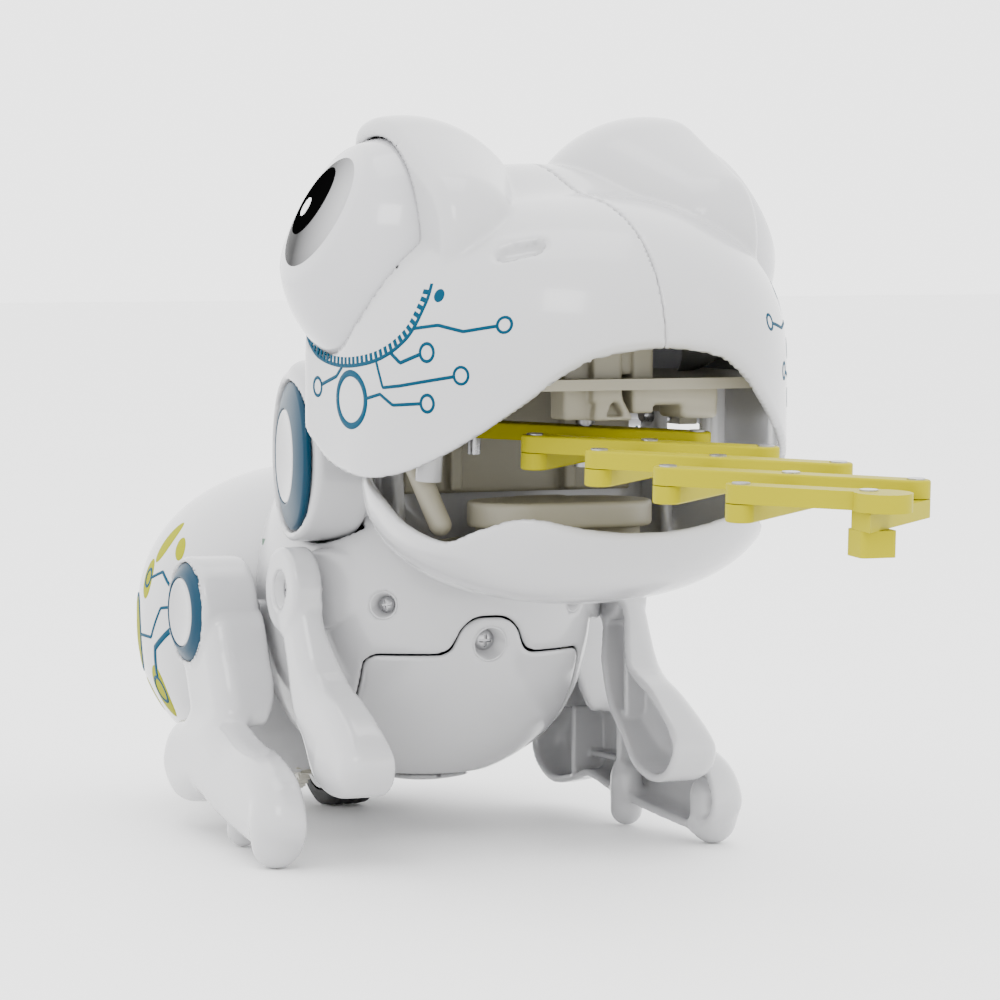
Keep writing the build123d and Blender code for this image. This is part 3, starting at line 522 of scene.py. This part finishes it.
def jaw_shell(x, y, z):
    """The bowl with its thick rounded rim and the two ears that hang it from the head."""
    outer = jaw_outer(x, y, z)
    shell = meet(outer, -(outer + 2.6), 1.6)
    shell = meet(shell, -outline_field(y, z, jaw_cut), 2.0)
    side = np.abs(x)
    ear = round_cone(side, y, z, (34, -14, 106), (34, -12, 80), 4.5, 10.0)
    ear = meet(ear, np.abs(side - 34.0) - 1.5, 0.6)
    ear = meet(ear, outer + 0.5)
    ear = meet(ear, -disc_x(side, y, z, JAW_PIVOT, 2.1, 30, 38, 0.0))
    return join(shell, ear, 1.0)


points, faces = surface(jaw_shell, (-47, -87, 63), (47, -3, 112), 1.0)
dress(mesh_object("Jaw_shell", points, faces, WHITE), "jaw", ("jaw_shell",))


# ---- Body shells ----
def door_region(x, z, grow=0.0):
    """The battery door's outline seen from the front: a rounded panel with a screw tab on top."""
    def rounded(cz, half_x, half_z, corner):
        dx, dz = np.abs(x) - half_x + corner, np.abs(z - cz) - half_z + corner
        outside = np.sqrt(np.maximum(dx, 0.0) ** 2 + np.maximum(dz, 0.0) ** 2)
        return outside + np.minimum(np.maximum(dx, dz), 0.0) - corner
    return join(rounded(31.8, 28.0, 16.2, 3.0), rounded(48.0, 8.5, 9.0, 7.0), 5.0) - grow


def torso_outer(x, y, z):
    """The torso without its hollow."""
    return meet(sphere(x, y, z, TORSO, TORSO_R), np.abs(x) - 38.5, 12.0)


def rump_outer(x, y, z):
    """The rump without its hollow."""
    return superellipsoid(x, y - RUMP[1], z - RUMP[2], RUMP_RADII, 2.25)


def pocket(x, y, z, mouth, way, radius, depth=6.0):
    """A round hole into a shell along -way."""
    offset = [v - m for v, m in zip((x, y, z), mouth)]
    along = sum(o * w for o, w in zip(offset, way))
    off = np.sqrt(np.maximum(sum(o * o for o in offset) - along**2, 0.0))
    return np.maximum(off - radius, np.abs(along) - depth)


def on_shell(field, start, way):
    """The point of a shell reached from start along -way, and the shell's outward direction there."""
    p = np.array([start], float)
    way = np.array(way, float) / np.linalg.norm(way)
    for _ in range(80):
        p = p - way * field(*p.T)[:, None] * 0.9
    slope = gradient(field, p)[0]
    return p[0], slope / np.linalg.norm(slope)


door_screw = on_shell(torso_outer, (0, -60, 50.3), (0, -1, 0))
chest_screw = on_shell(torso_outer, (25.0, -60, 60.0), (0, -1, 0))


def torso_shell(x, y, z):
    """The chest and belly, with room for the door, the neck drums and the rump."""
    outer = torso_outer(x, y, z)
    shell = meet(outer, -(outer + SHELL), 0.6)
    shell = meet(shell, -np.maximum(door_region(x, z, 0.25), y - 50.0), 0.7)
    shell = meet(shell, -(rump_outer(x, y, z) - 0.35), 0.8)
    side = np.abs(x)
    drum = disc_x(side, y, z, NECK, NECK_R + 0.6, 26.4, 60.0, 0.0)
    shell = meet(shell, -drum, 0.8)
    boss = meet(disc_x(side, y, z, SHOULDER, 9.6, 30.0, 38.6, 1.0), sphere(x, y, z, TORSO, TORSO_R - 0.2))
    shell = join(shell, boss, 0.6)
    return meet(shell, -pocket(side, y, z, chest_screw[0], chest_screw[1], 3.3), 0.5)


def battery_door(x, y, z):
    """The belly door, a separate panel flush with the torso."""
    outer = torso_outer(x, y, z)
    panel = meet(meet(outer, -(outer + SHELL), 0.4), np.maximum(door_region(x, z, -0.25), y - 45.0), 0.8)
    return meet(panel, -pocket(x, y, z, door_screw[0], door_screw[1], 4.2), 0.6)


def rump_shell(x, y, z):
    """The rear shell, open ahead inside the torso and below for the wheel."""
    outer = rump_outer(x, y, z)
    shell = meet(outer, -(outer + SHELL), 0.6)
    shell = meet(shell, 67.0 - y, 0.5)
    shell = meet(shell, -bar(x, y, z, (0, WHEEL[0], 8), (16, 19, 14), 3.0), 0.8)
    return meet(shell, -bar(x, y, z, (0, 157, 40), (6, 10, 3), 0.5), 0.4)


points, faces = surface(torso_shell, (-39, 4, 12), (39, 96, 104), 1.0)
dress(mesh_object("Torso_shell", points, faces, WHITE), "torso", ("torso_shell",))
points, faces = surface(battery_door, (-29, 4, 16), (29, 46, 61), 0.8)
dress(mesh_object("Battery_door", points, faces, WHITE), "torso", ("battery_door",))
points, faces = surface(rump_shell, (-51, 66, 7), (51, 159, 89), 1.1)
dress(mesh_object("Rump_shell", points, faces, WHITE), "torso", ("rump_shell",))


# ---- Neck drums and their caps ----
def neck_drum(x, y, z):
    """The left drum with its bridge to the back of the head and a seat for the ring."""
    drum = disc_x(x, y, z, NECK, NECK_R, 26.8, 41.8, 2.2)
    bridge = bar(x, y, z, (34, 16.5, 110), (6, 16.3, 7.8), 2.0)
    whole = join(drum, bridge, 5.0)
    turn = math.radians(10.0)
    depth = (x - 41.6) * math.cos(turn) + (y - NECK[0]) * math.sin(turn)
    seat = np.maximum(np.hypot(y - NECK[0], z - NECK[1]) - 18.5, -2.4 - depth)
    whole = meet(whole, depth - 0.2, 1.5)
    return meet(whole, -seat, 0.5)


points, faces = surface(neck_drum, (26, -1, 74), (43, 54, 120), 0.8)
pair("Neck_drum", points, faces, WHITE, "head", ("neck_drum_{side}",))


def ring_profile(inner, outer, face, depth):
    """Section of a cap ring with soft shoulders."""
    return [(face - depth, inner), (face - depth, outer), (face - 1.4, outer), (face - 0.8, outer - 0.2),
            (face - 0.5, outer - 0.7), (face + 0.2, (inner + outer) / 2), (face + 0.9, inner + 0.5),
            (face + 0.9, inner + 0.1), (face + 0.5, inner), (face - depth, inner)]


def dish_profile(radius, face, sink):
    """Section of the concave middle of a cap."""
    rows = [(face - 2.6, 0.01), (face - 2.6, radius), (face - 0.4, radius), (face - 0.1, radius - 0.5)]
    for r in np.linspace(radius - 1.1, 0, 12):
        rows.append((face - sink * (1 - (r / radius) ** 2) ** 0.8, max(r, 0.01)))
    return rows


def cap(name, centre, inner, outer, face, body, nodes, tilt=0.0):
    """A blue ring and its white dish on both sides, facing outwards and turned back by tilt."""
    a = math.radians(tilt)
    way = (math.cos(a), math.sin(a), 0.0)
    for side, mirrored in (("left", False), ("right", True)):
        origin = np.array((face, *centre)) - np.array(way) * face
        ring = lathe(f"{name}_ring_{side}", ring_profile(inner, outer, face, 2.4), origin, way, BLUE,
                     mirrored=mirrored)
        dress(ring, body.format(side=side), (nodes.format(side=side),))
        dish = lathe(f"{name}_dish_{side}", dish_profile(inner - 0.1, face + 1.0, 1.8), origin, way, WHITE,
                     mirrored=mirrored)
        dress(dish, body.format(side=side))


cap("Neck_cap", NECK, 11.5, 18.0, 41.6, "head", "neck_cap_{side}", tilt=10.0)


# ---- Limbs: shells open on their inner side ----
def limb(x, y, z, outline, near, far, round_over, wall=1.9):
    """A limb's shell between two stations, rounded on its outer side."""
    flat = outline_field(y, z, outline) - 0.6
    outer = meet(meet(flat, x - far, round_over), near - x, 1.0)
    inner = meet(flat + wall, x - (far - wall), round_over * 0.7)
    return outer, inner


arm_outline = curve_through(ARM_OUTLINE, True, 5)
thigh_outline = curve_through(THIGH_OUTLINE, True, 5)
foot_outline = curve_through(FOOT_OUTLINE, True, 5)


def arm(x, y, z):
    """The left arm: shoulder pad, upper arm and a rounder hand."""
    hand = np.clip((38.0 - z) / 16.0, 0.0, 1.0) * np.clip((12.0 - y) / 14.0, 0.0, 1.0)
    reach = np.clip((54.0 - z) / 10.0, 0.0, 1.0) * 2.5
    outer, inner = limb(x, y, z, arm_outline, 39.2 - reach - 1.5 * hand, 46.5 + 2.0 * hand, 5.0)
    shell = meet(outer, -inner, 0.8)
    pad = disc_x(x, y, z, SHOULDER, 10.3, 39.0, 46.5, 1.6)
    whole = join(shell, pad, 1.5)
    rib = meet(bar(x, y, z, (43, 14, 36), (4, 1.0, 20), 0.3), inner)
    whole = join(whole, rib, 0.5)
    return meet(whole, -disc_x(x, y, z, SHOULDER, 4.6, 42.6, 50.0, 0.0), 0.5)


points, faces = surface(arm, (34, -23, 16), (50, 37, 75), 0.8)
pair("Arm", points, faces, WHITE, "arm_{side}", ("arm_{side}",))


def leg(x, y, z):
    """The left leg: hip drum, thigh column and a long foot turned slightly outwards."""
    turn = math.radians(FOOT_SPLAY)
    px, py = x - FOOT_PIVOT[0], y - FOOT_PIVOT[1]
    fx = px * math.cos(turn) + py * math.sin(turn) + FOOT_PIVOT[0]
    fy = py * math.cos(turn) - px * math.sin(turn) + FOOT_PIVOT[1]
    foot_outer, foot_inner = limb(fx, fy, z, foot_outline, 47.0, 57.5, 7.0)
    inset = np.clip((40.0 - z) / 16.0, 0.0, 1.0) ** 2 * 6.5
    thigh_outer, thigh_inner = limb(x, y, z, thigh_outline, 40.2 + inset, 55.0, 6.0)
    drum = disc_x(x, y, z, HIP, 13.7, 41.0, 56.0, 2.0)
    shell = meet(join(foot_outer, thigh_outer, 3.0), -join(foot_inner, thigh_inner, 2.0), 0.8)
    ribs = bar(fx, fy, z, (54, 30, 15.5), (2.6, 40, 0.7), 0.3)
    for rib_y in (40, 64):
        ribs = np.minimum(ribs, bar(fx, fy, z, (52, rib_y, 17), (5.4, 0.8, 14), 0.3))
    shell = join(shell, meet(ribs, foot_inner), 0.5)
    nub = round_cone(fx, fy, z, (52, 0.5, 5.6), (52, 0.5, 12), 5.6, 5.6)
    stud = round_cone(fx, fy, z, (49, 39, 4.2), (49, 39, 12), 4.0, 4.0)
    whole = join(join(shell, drum, 0.8), join(nub, stud), 2.0)
    return meet(whole, -disc_x(x, y, z, HIP, 12.4, 53.4, 60.0, 0.0), 0.5)


points, faces = surface(leg, (39, -10, 0), (64, 88, 70), 0.9)
pair("Leg", points, faces, WHITE, "leg_{side}", ("leg_{side}",))
cap("Hip_cap", HIP, 8.6, 12.2, 56.2, "leg_{side}", "hip_cap_{side}")


# ---- Screws in their cups ----
def cup_profile(radius, depth):
    """Section of a moulded cup sunk in a shell."""
    return [(-depth - 1.0, 0.01), (-depth - 1.0, radius + 0.4), (-0.9, radius + 0.4), (-0.5, radius + 0.05),
            (-0.5, radius - 0.3), (-depth, radius - 0.9), (-depth, 0.01)]


def screw_head(x, y, z):
    """A cross-head screw of 1 mm radius standing on z = 0."""
    head = meet(sphere(x, y, z, (0, 0, -1.1), 1.6), np.hypot(x, y) - 1.0, 0.1)
    across = bar(x, y, z, (0, 0, 0.4), (0.62, 0.13, 0.3), 0.02)
    along = bar(x, y, z, (0, 0, 0.4), (0.13, 0.62, 0.3), 0.02)
    cross = np.minimum(across, along)
    return meet(meet(head, -cross, 0.02), -0.3 - z)


SCREW_POINTS, SCREW_FACES = surface(screw_head, (-1.1, -1.1, -0.4), (1.1, 1.1, 0.6), 0.06)


def sunk_screw(name, mouth, way, radius, depth, body, mirrored=False, head=0.8):
    """A cup sunk along -way with a screw at its bottom."""
    way = np.array(way, float)
    cup = lathe(f"{name}_cup", cup_profile(radius, depth), mouth, way, WHITE, 48, mirrored)
    dress(cup, body)
    side = np.cross(way, (0.0, 0.3, 1.0))
    side /= np.linalg.norm(side)
    turn = np.stack([side, np.cross(way, side), way])
    size = radius * head
    points = np.array(mouth) + SCREW_POINTS * size @ turn - way * (depth - 0.15)
    dress(mesh_object(f"{name}_screw", points, SCREW_FACES, STEEL, mirrored), body)


sunk_screw("Door", *door_screw, 4.2, 4.5, "torso", head=0.6)
rump_screw = on_shell(rump_outer, (80.0, 101.0, 40.5), (1, 0, 0))
for side, mirrored in (("left", False), ("right", True)):
    sunk_screw(f"Chest_{side}", *chest_screw, 3.3, 4.5, "torso", mirrored, 0.6)
    sunk_screw(f"Rump_{side}", *rump_screw, 3.3, 4.5, "torso", mirrored, 0.6)
    sunk_screw(f"Shoulder_{side}", (46.4, *SHOULDER), (1, 0, 0), 4.6, 3.4, f"arm_{side}", mirrored, 0.66)


# ---- Fittings in the mouth, and the jaw's platform ----
def slab(x, z, corners):
    """A convex plate's outline: its corners go round clockwise, seen from the front."""
    far = -1e9
    for (ax, az), (bx, bz) in zip(corners, corners[1:] + corners[:1]):
        size = math.hypot(bx - ax, bz - az)
        far = np.maximum(far, ((x - ax) * (az - bz) + (z - az) * (bx - ax)) / size)
    return far


def mouth_fittings(x, y, z):
    """Gusset, pads, column with a flared post, and a stepped bracket hung from the roof."""
    gusset = slab(x, z, [(-36, 107.2), (-36, 122), (-20.5, 122), (-20.5, 116.5), (-27.0, 107.2)])
    gusset = meet(gusset, np.abs(y + 63.5) - 1.1, 0.3)
    right_pad = meet(np.hypot(x + 14, y + 60) - 3.3, 117.5 - z, 0.5)
    left_pad = meet(np.hypot(x - 4, y + 60) - 3.6, 117.3 - z, 0.5)
    pads = np.minimum(right_pad, left_pad)
    column = bar(x, y, z, (-7.5, -58.5, 115.3), (3.4, 4.0, 8.2), 0.6)
    post = bar(x, y, z, (-1.3, -62.0, 118), (3.6, 3.2, 7.0), 0.5)
    flare = slab(x, z, [(-4.8, 107.0), (-3.6, 114), (1.2, 114), (5.2, 107.0)])
    flare = meet(flare, np.abs(y + 62.0) - 3.2, 0.5)
    hole = meet(slab(x, z, [(-1.6, 108.0), (0.2, 112.5), (2.8, 108.0)]), -65.6 - y)
    flare = meet(flare, -np.maximum(hole, y + 62.0), 0.2)
    bracket = bar(x, y, z, (7.8, -58, 116.5), (2.6, 6.5, 8.0), 0.6)
    bracket = join(bracket, bar(x, y, z, (17.0, -58, 113.2), (9.5, 6.5, 3.0), 1.2), 0.8)
    bracket = join(bracket, bar(x, y, z, (22.0, -58, 110.6), (4.6, 6.5, 3.5), 1.2), 0.8)
    pillar = join(column, join(post, flare, 0.6), 0.6)
    hung = np.minimum(np.minimum(gusset, pads), np.minimum(pillar, bracket))
    hung = meet(hung, head_outer(x, y, z) + SHELL + 0.4)
    back = bar(x, y, z, (0, -9.5, 101), (29, 1.2, 13), 0.5)
    right_strut = bar(x, y, z, (-17, -11.5, 101), (1.5, 3, 12.5), 0.5)
    left_strut = bar(x, y, z, (12, -11.5, 101), (1.5, 3, 12.5), 0.5)
    return np.minimum(hung, join(back, np.minimum(right_strut, left_strut), 1.0))


points, faces = surface(mouth_fittings, (-38, -68, 86), (32, -7, 126), 0.7)
dress(mesh_object("Mouth_fittings", points, faces, CREAM), "head")


def jaw_platform(x, y, z):
    """The raised bed on the jaw's tray."""
    bed = np.hypot(np.maximum(np.abs(x + 3.0) - 9.0, 0.0), y + 42.0) - 13.0
    bed = meet(bed, np.abs(z - 85.0) - 3.0, 1.2)
    rod = round_cone(x, y, z, (-37.5, -36.0, 99.0), (-33.0, -43.0, 83.0), 2.6, 2.6)
    return np.minimum(join(bed, bar(x, y, z, (-3, -26, 84.5), (6, 6, 3), 1.0), 2.0), rod)


points, faces = surface(jaw_platform, (-42, -56, 79), (20, -19, 103), 0.7)
dress(mesh_object("Jaw_platform", points, faces, CREAM), "jaw")


# ---- Printed decoration: strokes drawn on a sheet and dropped onto a shell ----
def sheet_axes(degrees):
    """Outward and rearward directions of a sheet that faces the left side, turned to the front."""
    a = math.radians(degrees)
    return np.array((math.cos(a), -math.sin(a), 0.0)), np.array((math.sin(a), math.cos(a), 0.0))


def settle(field, points, way):
    """Drop points along -way onto a shell."""
    for _ in range(60):
        points = points - way * field(*points.T)[:, None] * 0.9
    return points


def dense(path, spacing=0.6):
    """Points evenly spaced along a stroke."""
    path = np.array(path, float)
    steps = np.linalg.norm(np.diff(path, axis=0), axis=1)
    at = np.concatenate([[0.0], np.cumsum(steps)])
    want = np.linspace(0.0, at[-1], max(int(at[-1] / spacing), 2) + 1)
    return np.stack([np.interp(want, at, path[:, i]) for i in range(2)], 1)


def circle(centre, radius, tall=None, turns=32):
    """A closed round or oval stroke."""
    a = np.linspace(0, 2 * math.pi, turns + 1)
    return np.stack([centre[0] + radius * np.cos(a), centre[1] + (tall or radius) * np.sin(a)], 1)


STROKE_SECTION = ((1.0, -0.05), (0.92, 0.09), (-0.92, 0.09), (-1.0, -0.05))   # share of half width, rise


def printed(name, field, degrees, strokes, spots, material, body):
    """Thin raised strokes (path, width) and filled spots (outline) on both sides of the robot."""
    out, rear = sheet_axes(degrees)
    up = np.array((0.0, 0.0, 1.0))
    points, faces = [], []

    def lift(flat, rise):
        start = flat[:, :1] * rear + flat[:, 1:] * up + out * 90.0
        settled = settle(field, start, out)
        slope = gradient(field, settled)
        return settled + slope / np.linalg.norm(slope, axis=1)[:, None] * rise

    for path, width in strokes:
        line = dense(path)
        along = np.gradient(line, axis=0)
        along /= np.maximum(np.linalg.norm(along, axis=1), 1e-6)[:, None]
        across = np.stack([-along[:, 1], along[:, 0]], 1) * width / 2
        rows = [lift(line + across * share, rise) for share, rise in STROKE_SECTION]
        first = len(points)
        count = len(line)
        for row in rows:
            points.extend(row)
        for r in range(3):
            for i in range(count - 1):
                a = first + r * count + i
                faces.append((a, a + 1, a + count + 1, a + count))
    for outline in spots:
        centre = outline[:-1].mean(0)
        first = len(points)
        count = len(outline) - 1
        shares = (1.0, 0.97, 0.75, 0.5, 0.25)
        for share, rise in zip(shares, (-0.05, 0.05, 0.05, 0.05, 0.05)):
            points.extend(lift(centre + (outline[:-1] - centre) * share, rise))
        points.extend(lift(centre[None, :], 0.05))
        for r in range(len(shares) - 1):
            for i in range(count):
                a, b = first + r * count + i, first + r * count + (i + 1) % count
                faces.append((a, b, b + count, a + count))
        for i in range(count):
            faces.append((first + 4 * count + i, first + 4 * count + (i + 1) % count, first + 5 * count))
    for side in ("left", "right"):
        piece = mesh_object(f"{name}_{side}", points, faces, material, mirrored=side == "right")
        dress(piece, body)


LASH = [(25, 125.5), (18, 120.6), (5, 118.9), (-10, 120.8), (-20, 126.0), (-24.4, 133.4), (-25, 138.0)]
lash = curve_through(LASH, False, 10)
lash_line = dense(lash, 1.9)
inward = np.gradient(lash_line, axis=0)
inward = np.stack([inward[:, 1], -inward[:, 0]], 1) / np.linalg.norm(inward, axis=1)[:, None]
teeth = [((p, p + n * 2.0), 1.1) for p, n in zip(lash_line[1:-1], inward[1:-1])]
cheek_lines = [
    (lash, 0.9),
    (((-21.5, 128.0), (-29.0, 128.9), (-36.0, 127.6), (-44.2, 128.9)), 0.8),
    (circle((-46.0, 129.2), 1.7), 0.7),
    (((-14.5, 122.6), (-18.0, 120.3), (-24.0, 122.3)), 0.9),
    (circle((-26.2, 122.8), 2.0), 0.8),
    (((-9.5, 120.6), (-12.0, 114.6), (-18.0, 115.2), (-33.8, 117.6)), 0.8),
    (circle((-35.8, 117.9), 1.9), 0.7),
    (((-5.6, 111.9), (-11.0, 113.1), (-15.5, 110.8), (-24.4, 111.4)), 0.8),
    (circle((-26.4, 111.5), 1.9), 0.8),
    (((5.5, 118.7), (8.4, 116.4), (16.2, 114.2)), 0.9),
    (circle((18.3, 113.6), 2.1), 0.8),
    (circle((1.2, 111.4), 6.6, 6.0, 48), 1.6),
]
cheek_dot = circle((-28.0, 135.4), 1.5)
printed("Cheek_print", head_outer, 35, cheek_lines + teeth, [cheek_dot], TEAL, "head")


def leaf(centre, length, width, degrees):
    """A filled oval turned on its sheet."""
    a = math.radians(degrees)
    c = circle((0, 0), length, width, 28)
    return c @ np.array(((math.cos(a), math.sin(a)), (-math.sin(a), math.cos(a)))) + centre


leaves = [
    leaf((111.5, 69.0), 5.6, 3.0, 115), leaf((101.5, 68.0), 3.8, 1.9, 40), leaf((116.0, 59.5), 5.2, 3.6, 80),
    leaf((126.0, 45.0), 9.5, 6.2, 90), leaf((110.5, 31.0), 7.0, 4.6, 100), leaf((123.0, 29.0), 4.6, 2.8, 70),
]
rump_lines = [
    (((82.0, 61.0), (100.0, 59.0), (106.0, 62.0), (113.2, 60.0)), 0.8),
    (circle((115.6, 59.8), 2.2), 0.8),
    (((82.0, 55.5), (103.0, 53.0), (109.5, 45.0), (119.4, 45.0)), 0.8),
    (circle((126.0, 45.0), 6.6, 9.9, 48), 0.8),
    (((82.0, 50.0), (96.0, 48.5), (107.0, 42.5), (109.5, 35.0)), 1.6),
    (circle((110.6, 31.4), 3.2), 0.9),
]
printed("Rump_leaves", rump_outer, 0, [], leaves, LIME, "torso")


def over_leaves(x, y, z):
    """The rump's surface raised past the leaves, so that the lines lie on top of them."""
    return rump_outer(x, y, z) - 0.06


printed("Rump_print", over_leaves, 0, rump_lines, [], TEAL, "torso")


# ---- Wheel ----
def wheel_tyre():
    """The tyre's section: shoulders and three shallow grooves."""
    rows = [(-6.0, 11.4), (-6.0, 14.6), (-5.2, 15.7)]
    for groove in (-2.6, 0.0, 2.6):
        rows += [(groove - 0.7, 15.9), (groove - 0.35, 15.2), (groove + 0.35, 15.2), (groove + 0.7, 15.9)]
    return rows + [(5.2, 15.7), (6.0, 14.6), (6.0, 11.4), (-6.0, 11.4)]


tyre = lathe("Wheel_tyre", wheel_tyre(), (0, *WHEEL), (1, 0, 0), RUBBER)
dress(tyre, "wheel", ("wheel_tyre",))

# ---- Floor, light and camera ----
floor_material = plastic("studio_floor", (0.9, 0.9, 0.9), (0.89, 0.89, 0.89), 0.6, 0.05, 0.02)
bpy.ops.mesh.primitive_plane_add(size=12, location=(0, 0, 0))
floor = bpy.context.object
floor.name = "Floor"
floor.data.materials.append(floor_material)

world = bpy.data.worlds.new("studio")
bpy.context.scene.world = world
world.use_nodes = True
world.node_tree.nodes["Background"].inputs["Color"].default_value = (1.0, 1.0, 1.0, 1)
world.node_tree.nodes["Background"].inputs["Strength"].default_value = 3.2


def softbox(name, spot, size, power):
    """A square area light aimed at the head."""
    light = bpy.data.lights.new(name, "AREA")
    light.size = size
    light.energy = power
    lamp = bpy.data.objects.new(name, light)
    bpy.context.collection.objects.link(lamp)
    lamp.location = spot
    aim(lamp, (0.0, 0.0, 0.10))


def aim(obj, target):
    """Turn a light or camera to look at a point."""
    away = np.array(target, float) - np.array(obj.location)
    flat = math.hypot(away[0], away[1])
    obj.rotation_euler = (math.atan2(flat, -away[2]), 0.0, math.atan2(-away[0], away[1]))


softbox("Key", (-0.9, -1.2, 1.5), 0.7, 11)
softbox("Fill", (1.4, -0.9, 0.9), 0.9, 1.5)
softbox("Top", (0.1, 0.3, 1.8), 1.0, 6)

camera_data = bpy.data.cameras.new("Camera")
camera_data.lens = 169.8
camera_data.sensor_width = 36.0
camera = bpy.data.objects.new("Camera", camera_data)
bpy.context.collection.objects.link(camera)
camera.location = place((-437.86, -1031.53, 156.20))
aim(camera, place((0.0, 0.0, 85.3)))
bpy.context.scene.camera = camera
